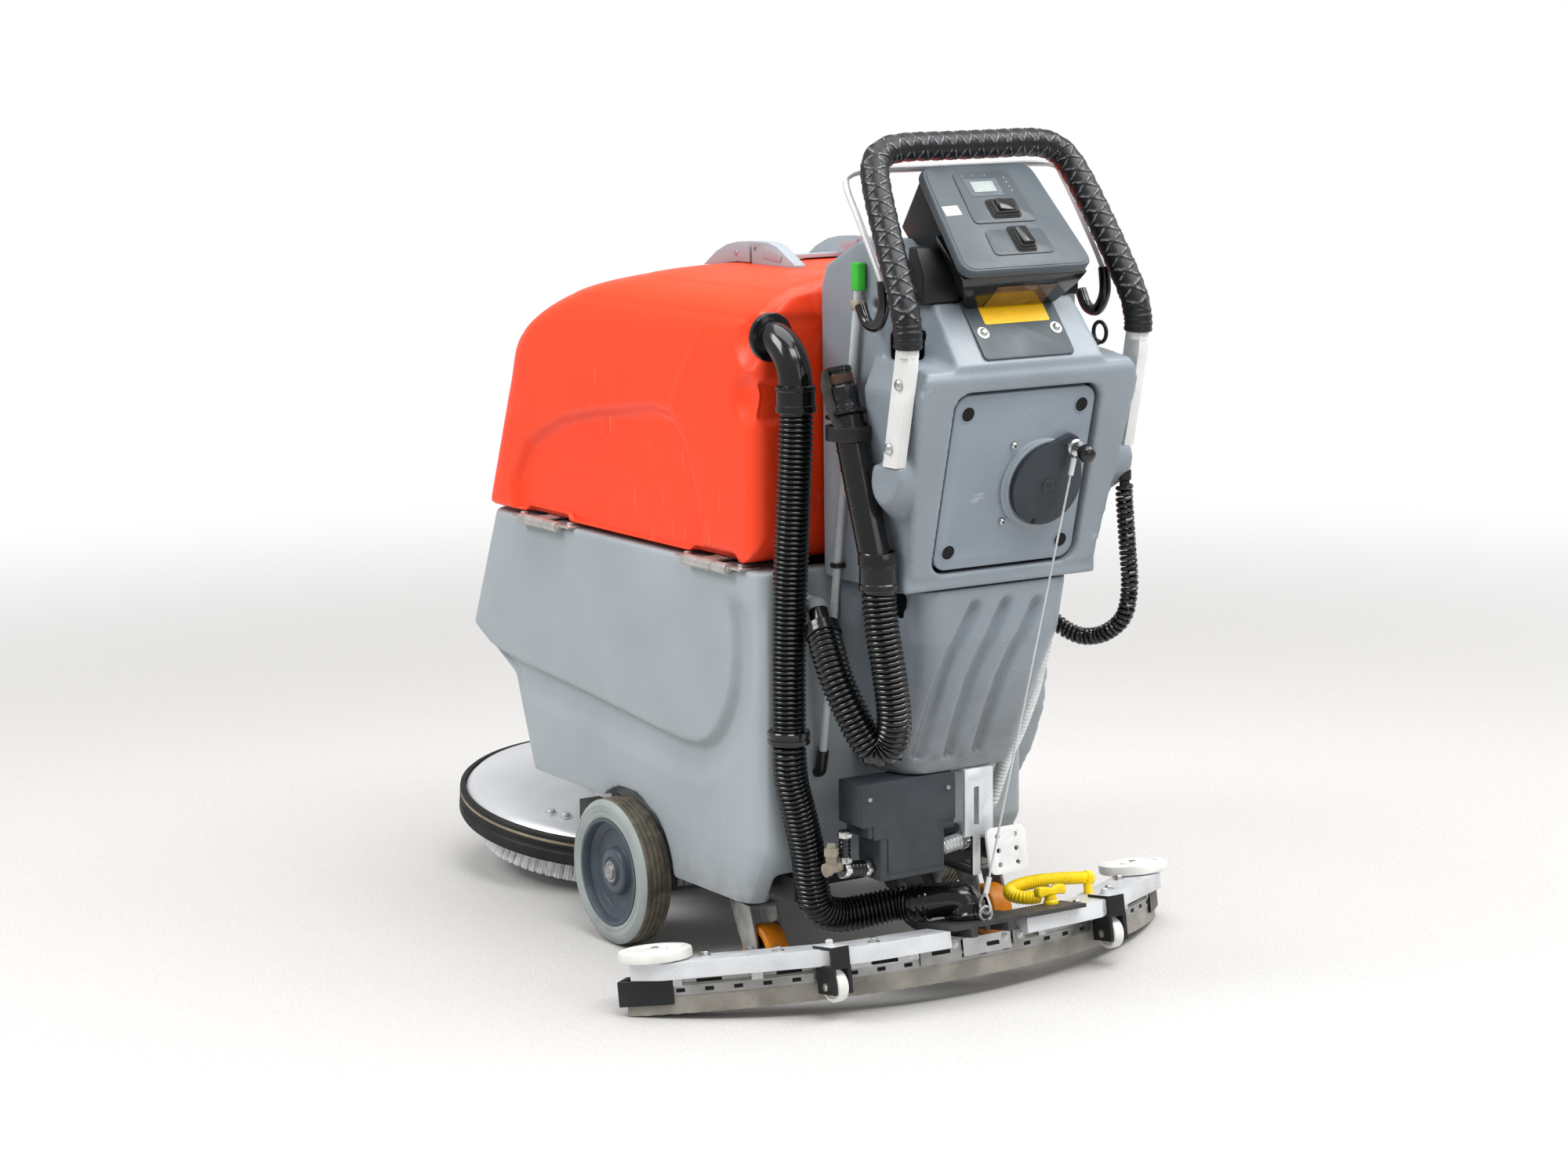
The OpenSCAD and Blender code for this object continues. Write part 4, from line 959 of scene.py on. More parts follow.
# the glossy neck that narrows down to the head plate: its x, y and z ranges at four levels
SHROUD = [((-95, 95), (-580, -524), (926, 976)), ((-86, 88), (-570, -518), (912, 958)),
    ((-70, 73), (-553, -510), (893, 930)), ((-65, 68), (-547.5, -518), (887, 905))]
RING_X, RING_Y, RING_Z, RING_R = 176, -500, 840, 13


def neck_shroud():
    verts = []
    for (x0, x1), (y0, y1), (z0, z1) in SHROUD:
        verts += [(x0, y0, z0), (x1, y0, z0), (x1, y1, z1), (x0, y1, z1)]
    bevelled(solid("neck_shroud", verts, sleeve(len(SHROUD), 4), GLOSS, "chassis"), 2.0, 2, 60)


prism("neck_base", [(-532, 893.5), (-497, 893.5), (-497, 930), (-500, 962), (-516, 962), (-532, 930)],
    lambda p: (p[2], p[0], p[1]), -118, 118, BLACK, "chassis", 3.0, 3, replaces=("console_neck",))
for s, tag in SIDES:
    prism("neck_bracket_" + tag, [(-516, 961.5), (-500, 961.5), (-486, 960), (-450, 966), (-434, 981),
        (-474, 1040), (-520, 992)], lambda p, s=s: (s * p[2], p[0], p[1]), 74, 82, BLACK, "chassis", 1.6)
neck_shroud()
prism("smoked_window", [(-42, 888), (48, 888), (56, 913), (-34, 913)],
    lambda p: (p[0], -548.6 - (p[1] - 888) * 0.87 - p[2], p[1]), 0.0, 1.2, SMOKE, "chassis", 0.3, 1)
prism("head_plate", round_rect(136, 88, 6), head, 0.1, 3.1, DARK, "chassis", 0.7)
prism("yellow_patch", round_rect(98, 28, 2.5, 2.5, 19.5), head, 3.1, 3.5, YELLOW_LABEL, "chassis", 0.15, 1)
for s, tag in SIDES:
    lathe("washer_" + tag[0], [(5, 0), (8.2, 0), (8.2, 0.9), (5, 1.2)], head((s * 55, -6, 3.1)),
        facing(head), WHITE, "chassis", 32, closed=True)
rod("console_tube", [(-116, -474, 968), (116, -474, 968)], 11.5, BLACK, "chassis")
rod("ring_hook", [(RING_X, RING_Y + y, RING_Z + z) for z, y in arc(0, 0, RING_R, 0, 360, 28)], 2.6, BLACK,
    "chassis", sides=10)
rod("ring_stem", [(160, -500, 822), (176, -500, 828)], 3.4, BLACK, "chassis", sides=12)

# ---------------------------------------------------------------- handle, grip and bail

LOOP = [(174, -579, 847), (174, -579, 866), (172, -568, 900), (164, -526, 970), (154, -487, 1032),
    (143, -468, 1062), (122, -461, 1076), (92, -460, 1080)]
# the grip's ridges stand RIDGE high and cross every CELL; its ends are plain up to COLLAR, and the painted
# glints along the ridge tops start 30 mm in from each end
GRIP_SIDES, GRIP_R, RIDGE, CELL = 66, 17.1, 1.0, 21.0
COLLAR, PAINTED_GLINT_FROM = 26, 30
BAIL = [(168, -518, 920), (167, -470, 990), (165, -437, 1034), (156, -433, 1048), (124, -435, 1052)]
BAIL_FOOT = [(168, -470, 892), (168, -484, 872), (168, -505, 870), (168, -520, 892), (168, -518, 924)]


def across(line, middle):
    """A line from the right side over the middle to its mirror image on the left."""
    return line + middle + [(-x, y, z) for x, y, z in line[::-1]]


def grip_wrap():
    """The wrapped grip: ridges that cross in diamond cells, with painted glints along their tops."""
    pts, total = spline(across(LOOP, [(46, -460, 1080), (0, -460, 1080), (-46, -460, 1080)]), 1.2)
    verts, painted_glint_at, run = [], [], 0.0
    for i, (p, (t, u, w)) in enumerate(zip(pts, axes_along(pts))):
        if i:
            run += (p - pts[i - 1]).length
        ends = min(run, total - run)
        for k in range(GRIP_SIDES):
            a = TAU * k / GRIP_SIDES
            along, round_about = run / CELL, 3 * a / TAU
            d1, d2 = abs((along + round_about) % 1 - 0.5), abs((along - round_about) % 1 - 0.5)
            ridge = max(0.0, 1 - min(d1, d2) / 0.1)
            r = GRIP_R + RIDGE * ridge * (2 - ridge)
            if ends < COLLAR:
                r = 17.4 - 0.5 * math.cos(ends * 0.9)
            if ends < 1.0:
                r = 15.5
            painted_glint_at.append(ridge > 0.5 and ends > PAINTED_GLINT_FROM and abs(d1 - d2) > 0.12)
            verts.append(tuple(p + u * (r * math.cos(a)) + w * (r * math.sin(a))))
    grip = solid("grip_wrap", verts, sleeve(len(pts), GRIP_SIDES), GRIP, "chassis",
        replaces=("handle_grip",), angle=40)
    # the painted glints go on the faces along the ridge tops
    grip.data.materials.append(GRIP_GLINT_PAINT)
    for face in grip.data.polygons:
        face.material_index = int(sum(painted_glint_at[v] for v in face.vertices) > len(face.vertices) / 2)


refined("handle_frame", WHITE_PAINT, "chassis", 2.2, 3)
grip_wrap()
tube("bail_wire", across(BAIL_FOOT[:4] + BAIL, [(60, -435, 1052), (0, -435, 1052), (-60, -435, 1052)]), 4.0,
    WIRE, "bail", sides=20, step=3, replaces=("bail",))
for s, tag in SIDES:
    tube("bail_sleeve_" + tag, [(s * a, b, c) for a, b, c in BAIL_FOOT], 7.4, GLOSS, "bail", sides=20,
        slot="black_rubber")
    rod("bail_pin_" + tag, [(s * 146, -470, 892), (s * 170, -470, 892)], 6.0, STEEL, "bail")

# ---------------------------------------------------------------- lift disc and rope

DISC_X, DISC_Y = 43, -9
CRANK_X, CRANK_Y = DISC_X + 58 * math.cos(deg(62)), DISC_Y + 58 * math.sin(deg(62))
ROPE_TOP = Vector(door((CRANK_X - 1, CRANK_Y - 9, 23)))
ROPE_END = Vector((0, -492.6, 130.2))
ROPE_WAY = (ROPE_END - ROPE_TOP).normalized()
THIMBLE_Z = 119.2

refined("lift_disc", DISC, "lift_disc", 1.6, 3)
lathe("disc_ring", [(53.5, 3.2), (57.6, 3.2), (57.8, 4.6), (57.0, 5.3), (54.4, 5.3), (53.6, 4.6)],
    door((DISC_X, DISC_Y, 0)), DOOR_N, GREY_LID, "chassis", 72, closed=True)
lathe("lever_ball", [(0, -11.6), (5, -11.2), (8.6, -8.2), (11.2, -3.6), (11.9, 0.6), (11.2, 4.6), (9, 8.2),
    (5.4, 10.9), (2, 11.8), (0, 12)], door((CRANK_X, CRANK_Y, 44)), DOOR_N, GLOSS, "lift_disc", 40, angle=70)
lathe("crank_nut", [(8.6, 0), (8.6, 5), (7.6, 6), (4.2, 6), (4.2, 26), (4.2, 28)],
    door((CRANK_X, CRANK_Y, 12.4)), DOOR_N, STEEL, "lift_disc", 6, angle=20)
lathe("disc_boss", [(9, 0), (9, 1.2), (8, 2.0), (4, 2.2), (3.4, 1.2), (0, 1.0)],
    door((DISC_X, DISC_Y, 12.5)), DOOR_N, DISC, "lift_disc", 36)
# painted shade: a dark disc in the lift disc's hole
lathe("disc_hole", [(0, 0), (3.4, 0), (3.4, 0.25), (0, 0.3)], door((29, -55, 12.4)), DOOR_N, SHADOW,
    "lift_disc", 20, slot="dark_panel")
refined("screws", STEEL, "chassis", 0.5, dissolve=3)
# painted shade: dark crosses in the screws' slots
for i, (x, y) in enumerate(((-10, 44), (-11, -56))):
    lathe("cross_slot_%d" % i, [(0, 0), (2.4, 0), (2.2, 0.2), (0, 0.25)], door((x, y, 5.0)), DOOR_N, SHADOW,
        "chassis", 4, slot="steel")
for i, (x, y) in enumerate(((-86, -90), (-86, 90), (86, -90), (86, 90))):
    lathe("door_hole_%d" % i, [(9.0, 0.1), (11.2, 0.1), (10.9, 0.8), (9.3, 1.0)], door((x, y, -0.2)), DOOR_N,
        GREY_DOOR_SHADED, "chassis", 32, closed=True)
    # painted shade: a dark disc deep in each corner hole of the door
    lathe("door_hole_shade_%d" % i, [(0, 0.1), (9.1, 0.1), (9.1, 0.6), (3.2, 0.2), (0, 0.2)], door((x, y, -0.2)),
        DOOR_N, SHADOW, "chassis", 32, slot="dark_panel")


def strands(name, a, b, r, wire, lay, count, body):
    """A rope of twisted wires between two points; lay is the length of one turn."""
    t = (b - a).normalized()
    u = t.orthogonal().normalized()
    w = t.cross(u)
    n = int((b - a).length / lay * 10)
    for s in range(count):
        turns = [TAU * (i / 10 + s / count) for i in range(n + 1)]
        line = [a + (b - a) * (i / n) + u * (r * math.cos(q)) + w * (r * math.sin(q))
            for i, q in enumerate(turns)]
        rod("%s_%d" % (name, s), line, wire, WIRE, body, sides=6)


def thimble():
    """The rope's lower eye, drawn out to a point at its top."""
    eye = []
    for i in range(41):
        a = TAU * i / 40
        tip = max(0.0, math.cos(a))
        y = -492.6 + 11.6 * math.sin(a) * (1 - 0.45 * tip)
        eye.append((0, y, THIMBLE_Z + 11.4 * math.cos(a) + 5.0 * tip ** 3))
    rod("thimble", eye, 1.5, WIRE, "wire_rope", sides=14)


strands("rope_strand", ROPE_TOP, ROPE_END, 0.8, 0.7, 9, 5, "wire_rope")
lathe("rope_eye", [(4.1, 0), (10, 0), (10.6, 1.2), (9.2, 3), (10.6, 4.8), (10, 6), (4.1, 6)],
    door((CRANK_X, CRANK_Y, 20)), DOOR_N, STEEL, "wire_rope", 36, closed=True, replaces=("wire_rope",))
rod("rope_ferrule_top", [ROPE_TOP + ROPE_WAY * 4, ROPE_TOP + ROPE_WAY * 26], 3.6, ALU, "wire_rope", sides=20)
rod("rope_ferrule_low", [ROPE_END - ROPE_WAY * 26, ROPE_END - ROPE_WAY * 5], 3.6, ALU, "wire_rope", sides=20)
thimble()

# ---------------------------------------------------------------- pipes on the left rear

GAUGE_X, ELBOW_AT, BEND_R = -155, (-214, -337, 790), 56
NECK_TOP, NECK_FOOT = Vector((-182, -438, 815)), Vector((-173, -508, 574))
NECK_WAY = tuple(NECK_FOOT - NECK_TOP)
NOZZLE = [(0, 0), (14.5, 0.2), (16.6, 1.4), (17, 3.4), (17, 6.5), (15.9, 7.6), (15.9, 10), (17, 10.6),
    (17, 21.4), (16, 23), (18.8, 25.6), (20, 27), (20, 40), (19.2, 41.6), (19.2, 49), (20, 50.6), (20, 54),
    (24.5, 55.6), (26.4, 57), (26.4, 60), (24.5, 61.4), (20, 63), (20, 244), (15, 245), (0, 245)]
BROWN_BAND = 7

rod("gauge_tube", [(GAUGE_X, -446, 912), (GAUGE_X, -353, 292)], 5.0, GAUGE, "chassis",
    replaces=("level_gauge",))
prism("gauge_cap", round_rect(13, 17, 3.5, GAUGE_X, -446.5), plain, 908, 942, GREEN, "chassis", 1.6, 3)
tube("gauge_foot", [(GAUGE_X, -356.5, 316), (GAUGE_X, -353, 298), (GAUGE_X, -349, 289),
    (GAUGE_X, -338, 286)], 7.6, BLACK, "chassis", sides=24, step=2)
for i, (y, z, tall, mat) in enumerate(((-443.5, 884, 12, DUSTY), (-393.5, 557, 6, BLACK))):
    prism("gauge_clip_%d" % i, round_rect(15, 18, 4, GAUGE_X + 0.5, y), plain, z, z + tall, mat, "chassis",
        1.2, slot="black_plastic")
elbow_x, elbow_y, elbow_z = ELBOW_AT
bend = [(elbow_x, elbow_y - y, elbow_z + z) for z, y in arc(0, 0, BEND_R, 0, 90, 15)]
rod("elbow_bend", [(elbow_x, -346, 846)] + bend + [(elbow_x, -393, 772)], 21.4, GLOSS, "recovery", sides=40,
    replaces=("tank_elbow",), angle=60)
lathe("elbow_collar", [(20, 12), (23.5, 11.6), (24, 8), (29.6, 7), (31, 5.6), (31, 1), (30, 0), (20, 0)],
    (elbow_x, -334.5, 846), (0, -1, 0), GLOSS, "recovery", 56, closed=True)
lathe("elbow_cuff", [(19, 0), (24.6, 0), (25.6, 1.2), (25.6, 9), (24.4, 10), (24.4, 27), (25.6, 28.4),
    (25.2, 33), (22, 34.6), (19, 34)], (elbow_x, -393, 757), UP, GLOSS, "recovery", 56, closed=True)
lathe("coupling_ring", [(18.5, 0), (26.2, 0), (27.3, 1.2), (27.3, 6.6), (26, 7.4), (26, 9.6), (27.3, 10.4),
    (27.3, 15.6), (26.2, 17), (18.5, 17)], (-218, -374, 336.5), UP, GLOSS, "chassis", 56, closed=True,
    replaces=("hose_coupling",))
lathe("drain_neck", NOZZLE, NECK_TOP, NECK_WAY, GLOSS, "chassis", 48, second=BROWN, over=(BROWN_BAND,),
    replaces=("drain_nozzle",))
lathe("drain_cuff", [(19, 0), (24, 0), (25, 1.4), (25, 8), (23.8, 9.4), (23.8, 30), (25, 31.4), (25, 44),
    (23, 47.6), (19, 48)], (-173, -511, 546.5), UP, GLOSS, "chassis", 48, closed=True)
for i in range(5):
    lathe("neck_ring_%d" % i, [(19.4, -1.6), (20.6, -1.4), (20.9, 0), (20.6, 1.4), (19.4, 1.6)],
        NECK_TOP.lerp(NECK_FOOT, (78 + i * 24) / 251), NECK_WAY, GLOSS, "chassis", 40, closed=True)


def clamp_lever():
    """A thin bent lever, cut from a plate that leans slightly across."""
    edge = [(-208, -444, 812), (-213, -450, 794), (-211, -460, 764), (-203, -471, 736), (-193, -477, 728),
        (-190, -468, 748), (-193, -454, 778), (-198, -441, 812)]
    k = len(edge)
    verts = [(x + s, y + s * 0.5, z) for s in (-2.4, 2.4) for x, y, z in edge]
    faces = [list(range(k))[::-1], list(range(k, 2 * k))]
    faces += [[i, (i + 1) % k, k + (i + 1) % k, k + i] for i in range(k)]
    bevelled(solid("clamp_lever", verts, faces, LEVER, "chassis"), 1.2)


clamp_lever()
refined("hose_clip", BLACK, "chassis", 1.2)

# ---------------------------------------------------------------- valve box, stub hoses and clamps

VALVE_PLATE = [(-158, 288), (-14, 288), (-14, 226), (-34, 226), (-34, 168), (-118, 168), (-118, 214),
    (-140, 214), (-140, 232), (-158, 232)]
PLATE_Y = -446.2
STUBS = (("left", (-129.6, -420, 172), (-172, -420, 176), 11.0, HOSE),
    ("right", (-28.4, -420, 182), (22, -420, 188), 11.0, CLEAR),
    ("up", (-166, -420, 183), (-166, -420, 226), 8.0, HOSE))


def stub_hose(tag, start, end, r, mat):
    """A short ribbed hose with a clamp and its screw near each end."""
    a, b = Vector(start), Vector(end)
    route = [a.lerp(b, f) for f in (0, 0.25, 0.5, 0.75, 1)]
    tube("stub_hose_" + tag, route, rib_radius(r, r - 1.6, 5.5, 9, 0.7), mat, "chassis", sides=28, step=0.9,
        slot="black_plastic", angle=70)
    for i, f in enumerate((0.12, 0.88)):
        band = mirrored([(r - 1.2, -4), (r + 0.5, -4), (r + 0.7, -3)])
        lathe("hose_clamp_%s_%d" % (tag, i), band, a.lerp(b, f), b - a, STEEL, "chassis", 36, closed=True)
        c = a.lerp(b, f) - Vector((0, r + 2, 0))
        prism("clamp_screw_%s_%d" % (tag, i), round_rect(7.5, 5.5, 1),
            lambda p, c=c: (c.x + p[0], c.y - p[2], c.z + p[1]), -1.5, 1.5, STEEL, "chassis", 0.5, 1)


refined("valve_box", VALVE, "chassis", 2.4, 3)
prism("valve_plate", VALVE_PLATE, lambda p: (p[0], PLATE_Y - p[2], p[1]), 0.0, 1.6, VALVE, "chassis", 0.5)
for i, x in enumerate((-146, -26)):
    lathe("valve_screw_%d" % i, [(0, 4.4), (2.6, 4), (3.4, 2.6), (3.4, 1.4)], (x, PLATE_Y, 268), (0, -1, 0),
        DULL_STEEL, "chassis", 24)
for row in STUBS:
    stub_hose(*row)
lathe("brass_fitting", [(0, 13), (6, 13), (6, 8), (9.5, 7), (9.5, -2), (7.5, -4), (7.5, -14), (10, -15),
    (10, -21), (0, -22)], (-186, -420, 198), UP, DUSTY, "chassis", 6, angle=20)
lathe("brass_cross", [(0, 0), (8.6, 0), (8.6, 7), (6.4, 8), (6.4, 24), (0, 24)], (-196, -420, 178),
    (1, 0, 0.1), DUSTY, "chassis", 24)

# ---------------------------------------------------------------- frame, pedal, arms and hinges


def on_rope_bracket(c):
    return -4 < c[0] < 44 and c[1] < -415 and c[2] > 197


def off_pedal_plate(c):
    on_plate = c[1] < -474 and c[0] < 73
    on_rod = 45.5 < c[0] < 53.5 and c[1] > -479.5
    return not (on_plate and not on_rod)


def on_arm_plate(c):
    return abs(c[0]) < 16 and lowered(c)[1] > 73.6


painted(refined("chassis_frame", FRAME, "chassis", 1.2), ALU, on_rope_bracket)
painted(refined("lift_pedal", WHITE_PAINT, "lift_pedal"), FRAME, off_pedal_plate)
painted(refined("squeegee_arm", FRAME, "squeegee", 0.9), DULL_STEEL, on_arm_plate)
refined("deck_arms", ALU, "deck", 1.0)
refined("hinge_leaves", NICKEL, "chassis", 0.5, dissolve=3)
refined("hinge_straps", NICKEL, "recovery", 0.5, dissolve=3)
for y in (214, -228):
    for e in (-1, 1):
        rod("hinge_pin_end_%d_%d" % (y, e), [(-246, y + e * 55.2, 549), (-246, y + e * 56.4, 549)], 3.2,
            NICKEL, "chassis", sides=20)

# ---------------------------------------------------------------- wheels

WHEEL_X, CAP_X, WHEEL_R = 249.0, 267.4, 100
CASTER_X, CASTER_Y, CASTER_R = 180, -253, 35
TYRE_BACK = [(74.1, -21.6), (77, -22.8), (84, -23), (90, -22.8), (94, -21.6), (96.4, -19.8), (98.6, -18.2),
    (99.7, -16.6)]
TYRE_FACE = [(99.7, 16.6), (98.6, 18.2), (96.4, 19.8), (94, 21.6), (92.4, 22.4), (90.4, 23), (89.6, 22.4),
    (88.8, 23), (82, 23), (80.6, 22.3), (79.4, 23), (76.4, 22.8), (74.1, 21.6)]
TREAD_R, GROOVE_R = 100, 98.0
HUB_PROFILE = [(10.1, -20.6), (25, -20.6), (26, -19.4), (26, -5.4), (60, -5.4), (65, -8), (67.4, -12),
    (68, -21), (70, -22.6), (73, -22.4), (74, -21), (74, 21), (73.2, 22.6), (71.4, 23), (69, 22.6),
    (67.8, 20.6), (66.8, 11), (62.4, 7.6), (57, 6.2), (56, 4.8), (46, 4.0), (34, 5.2), (32.6, 6.8),
    (31.4, 12.4), (29.8, 14.4), (27.6, 15.2), (20, 15.6), (18.6, 14.0), (17, 14.0), (16, 16.4), (14, 17),
    (10.1, 17)]
CASTER_TREAD = range(4, 13)
CASTER_PROFILE = mirrored([(5.1, -15.6), (12.4, -15.6), (12.8, -13), (22.6, -12), (23.6, -14.6), (27, -15.6),
    (31.6, -16), (34, -14), (35, -10.4)])


def drive_wheel(side, name):
    at, axis, body = (side * WHEEL_X, 0, WHEEL_R), (side, 0, 0), name + "_wheel"
    tread = []
    for x in (-11.4, -3.8, 3.8, 11.4):
        tread += [(TREAD_R, x - 2.4), (TREAD_R - 0.1, x - 1.5), (GROOVE_R, x - 1.1), (GROOVE_R, x + 1.1),
            (TREAD_R - 0.1, x + 1.5), (TREAD_R, x + 2.4)]
    profile = TYRE_BACK + tread + TYRE_FACE
    worn = [i for i, p in enumerate(profile) if p[0] >= 98.4]
    lathe(name + "_tyre_v", profile, at, axis, TYRE, body, 96, closed=True, second=TREAD,
        over=range(worn[0], worn[-1]), replaces=(name + "_tyre",), angle=30)
    lathe(name + "_hub_v", HUB_PROFILE, at, axis, HUB, body, 84, closed=True, replaces=(name + "_hub",),
        angle=34)
    lathe(name + "_axle_cap", [(0, 5), (1.6, 5), (2.2, 3.6), (7.4, 3.6), (8.6, 4.4), (10.4, 3.6),
        (11.2, 1.8), (11.2, 0), (14.4, 0), (14.4, -1.0), (9, -1.0)], (side * CAP_X, 0, WHEEL_R), axis,
        DULL_STEEL, "chassis", 40)


def caster(side, name):
    body = name + "_caster"
    refined(body + "_fork", DULL_STEEL, body, 1.0, dissolve=3)
    lathe(body + "_wheel_v", CASTER_PROFILE, (side * CASTER_X, CASTER_Y, CASTER_R), ACROSS, BLACK,
        body + "_wheel", 56, closed=True, slot="orange_tread", replaces=(body + "_wheel",), second=URETHANE,
        over=CASTER_TREAD)
    lathe(body + "_nut", [(0, 5), (4, 5), (6.4, 3.6), (6.4, 0), (8.6, 0), (8.6, -1.2), (0, -1.2)],
        (side * (CASTER_X + 24.2), CASTER_Y, CASTER_R), (side, 0, 0), STEEL, body, 6, angle=20)


for side, name in SIDES:
    drive_wheel(side, name)
for side, name in SIDES:
    caster(side, name)

# ---------------------------------------------------------------- brush deck

DECK_Y, BOLT_RING = 396, 206
BRISTLE_TOP, BRISTLE_REACH = 36.5, 221
SPRING = [(-134, 262, 120), (-134, 220, 122.4), (-134, 176, 125)]
# rows of tufts: radius, tufts, strands to a tuft, share of a step that the row is turned by
TUFT_ROWS = [(214, 92, 6, 0), (204, 80, 4, 0.5), (190, 64, 4, 0), (174, 56, 4, 0.5), (154, 50, 4, 0),
    (132, 42, 4, 0.5), (110, 36, 4, 0), (88, 28, 4, 0.5)]


def deck_ring(name, profile, mat, body, sides=120, **kw):
    return lathe(name, profile, (0, DECK_Y, 0), UP, mat, body, sides, place=deck, closed=True, **kw)


def spoke(r0, a0, r1, a1):
    """Where one arm of a radius and angle ends that stands on the end of another."""
    return r0 * math.cos(a0) + r1 * math.cos(a1), r0 * math.sin(a0) + r1 * math.sin(a1)


def bristle_tufts():
    """Tufts that lean outward and spread, a little differently each."""
    rng = np.random.default_rng(7)
    verts, faces = [], []
    for radius, count, per, offset in TUFT_ROWS:
        lean = 6 if radius > 200 else 1
        for i in range(count):
            a = TAU * (i + offset) / count
            for j in range(per if radius > 190 else 3):
                q = TAU * j / per
                root, tip = radius - lean, radius + lean * 0.6
                top = Vector((*spoke(root, a, 2.6, q), BRISTLE_TOP))
                spread = 5.2 + rng.uniform(-1, 1)
                end = Vector((*spoke(tip, a, spread, q), 1.4 + rng.uniform(0, 1.2)))
                reach = math.hypot(end.x, end.y)
                if reach > BRISTLE_REACH:
                    end.x, end.y = end.x * BRISTLE_REACH / reach, end.y * BRISTLE_REACH / reach
                faces += [[len(verts) + v for v in face] for face in sleeve(3, 6)]
                for p, r in ((top, 1.7), (top.lerp(end, 0.6), 2.3), (end, 2.7)):
                    verts += [deck((x, DECK_Y + y, p.z)) for x, y in arc(p.x, p.y, r, 0, 360, 6)[:-1]]
    solid("bristle_tufts", verts, faces, BRISTLE, "brush", replaces=("bristles",), angle=50)


deck_ring("deck_shell", [(20, 99), (60, 99), (150, 92.5), (222, 76), (237, 63), (242, 50), (242.6, 48),
    (246.4, 48), (247, 50), (247, 70), (245.6, 73.6), (238, 81.6), (232, 84.2), (205, 92), (180, 98),
    (150, 103.2), (120, 107), (90, 110), (76, 111.8), (20, 112)], DECK, "deck", replaces=("brush_deck",),
    angle=28)
for i, a in enumerate((-148, -30, 90, 205)):
    c, s = math.cos(deg(a)), math.sin(deg(a))
    lathe("deck_bolt_%d" % i, [(11, -1.4), (10.4, 0.6), (5.6, 0.8), (5.6, 4.6), (4.6, 5.6), (0, 5.8)],
        (BOLT_RING * c, DECK_Y + BOLT_RING * s, 91.6), (0.12 * c, 0.12 * s, 1), WIRE, "deck", 24, place=deck)
deck_ring("bumper_body", [(247.2, 36.6), (251, 36), (252.4, 37), (253, 40), (255, 41.4), (255, 52.4),
    (253.4, 54), (252.6, 56), (252.6, 59.6), (253.4, 61), (255, 62), (255, 64.6), (253.6, 65.4),
    (253.6, 70.6), (255, 71.6), (254.6, 75.6), (252, 78), (247.4, 78)], RUBBER, "deck", 144,
    replaces=("deck_bumper",))
deck_ring("bumper_strip", [(253.0, 65.8), (254.3, 66), (254.5, 68), (254.3, 70), (253.0, 70.2)], BEIGE,
    "deck", 144)
deck_ring("brush_plate", [(12.1, 36.4), (215, 36.4), (216.6, 38), (217, 41), (216, 50), (213, 52), (60, 52),
    (58, 46), (12.1, 46)], WHITE, "brush", replaces=("brush_disc",))
refined("brush_motor", BLACK, "deck", 2.0, 3)
for i in range(5):
    lathe("motor_fin_%d" % i, [(55.8, 0), (57.4, 0), (57.4, 2), (55.8, 2)], (0, 366, 170 + i * 14), UP,
        BLACK, "deck", 60, closed=True, place=deck)
deck_ring("bristle_root", [(190, 36.4), (209, 36.4), (212, 12), (206, 8), (198, 10), (188, 14)], BRISTLE,
    "brush")
bristle_tufts()
coil("deck_spring_coil", SPRING, 7.4, 1.5, 4.6, DULL_STEEL, None, per_turn=16, replaces=("deck_spring",),
    blend=("deck", "chassis", SPRING[0], SPRING[-1]))

# ---------------------------------------------------------------- squeegee

# the blades curve round a centre ahead of them; BLADE_R is the radius of the rear blade's outer face
BLADE_R, BLADE_CENTRE_Y = 582.0, 110
# ahead of the arm's pivot, raising it brings a strip down; the strip's edge stays this far over the floor
FLOOR_GAP = 1.0
RAISE_SIN, RAISE_COS = 0.149, 0.989  # of ARM_RAISE, the sine a little over
BUMPER_X, BUMPER_Y = 382, -302
SUPPORT_X, SUPPORT_Y, SUPPORT_Z = 217, -457, 21.5
KNOB_X, KNOB_Y = 126, -456
WING = [(104, 84.5), (108, 83.6), (118, 85), (134, 85), (144, 83.6), (148, 84.5), (148.4, 92), (146, 96.6),
    (136, 96.8), (128, 94.6), (124, 94.6), (116, 96.8), (106, 96.6), (103.6, 92)]
HORN = [(236, -398, 88), (200, -394, 92), (164, -389, 94), (134, -386, 93), (112, -390, 90), (102, -402, 86),
    (106, -415, 82), (118, -422, 80), (130, -424, 80)]
PORT_BEND = [(-3, -448, 84), (-3.4, -448, 93), (-8, -443.5, 98.6), (-18, -432.5, 99.2), (-50, -398, 97)]
# latch plates along the middle of the blade: angles, outer radius past the blade, heights, material
LATCHES = ((-18.5, -9.5, 3.0, 36, 50, STEEL), (-9.2, -3.4, 4.4, 27, 55, DULL_STEEL),
    (-3.0, 4.4, 3.4, 30, 53, STEEL), (4.6, 6.6, 5.4, 34, 52, DULL_STEEL),
    (10.5, 21.0, 3.0, 38, 50, DULL_STEEL))


def on_beam_ends(c):
    y, z = lowered(c)
    return 202 < abs(c[0]) < 232 and y < -430 and z < 67


def turned(name, profile, at, mat, sides, body="squeegee", axis=UP, **kw):
    """A turned piece of the squeegee, given where it stands when lowered."""
    return lathe(name, profile, at, axis, mat, body, sides, place=squeegee, **kw)


def on_blade(r, a, z):
    return (r * math.sin(a), BLADE_CENTRE_Y - r * math.cos(a), z)


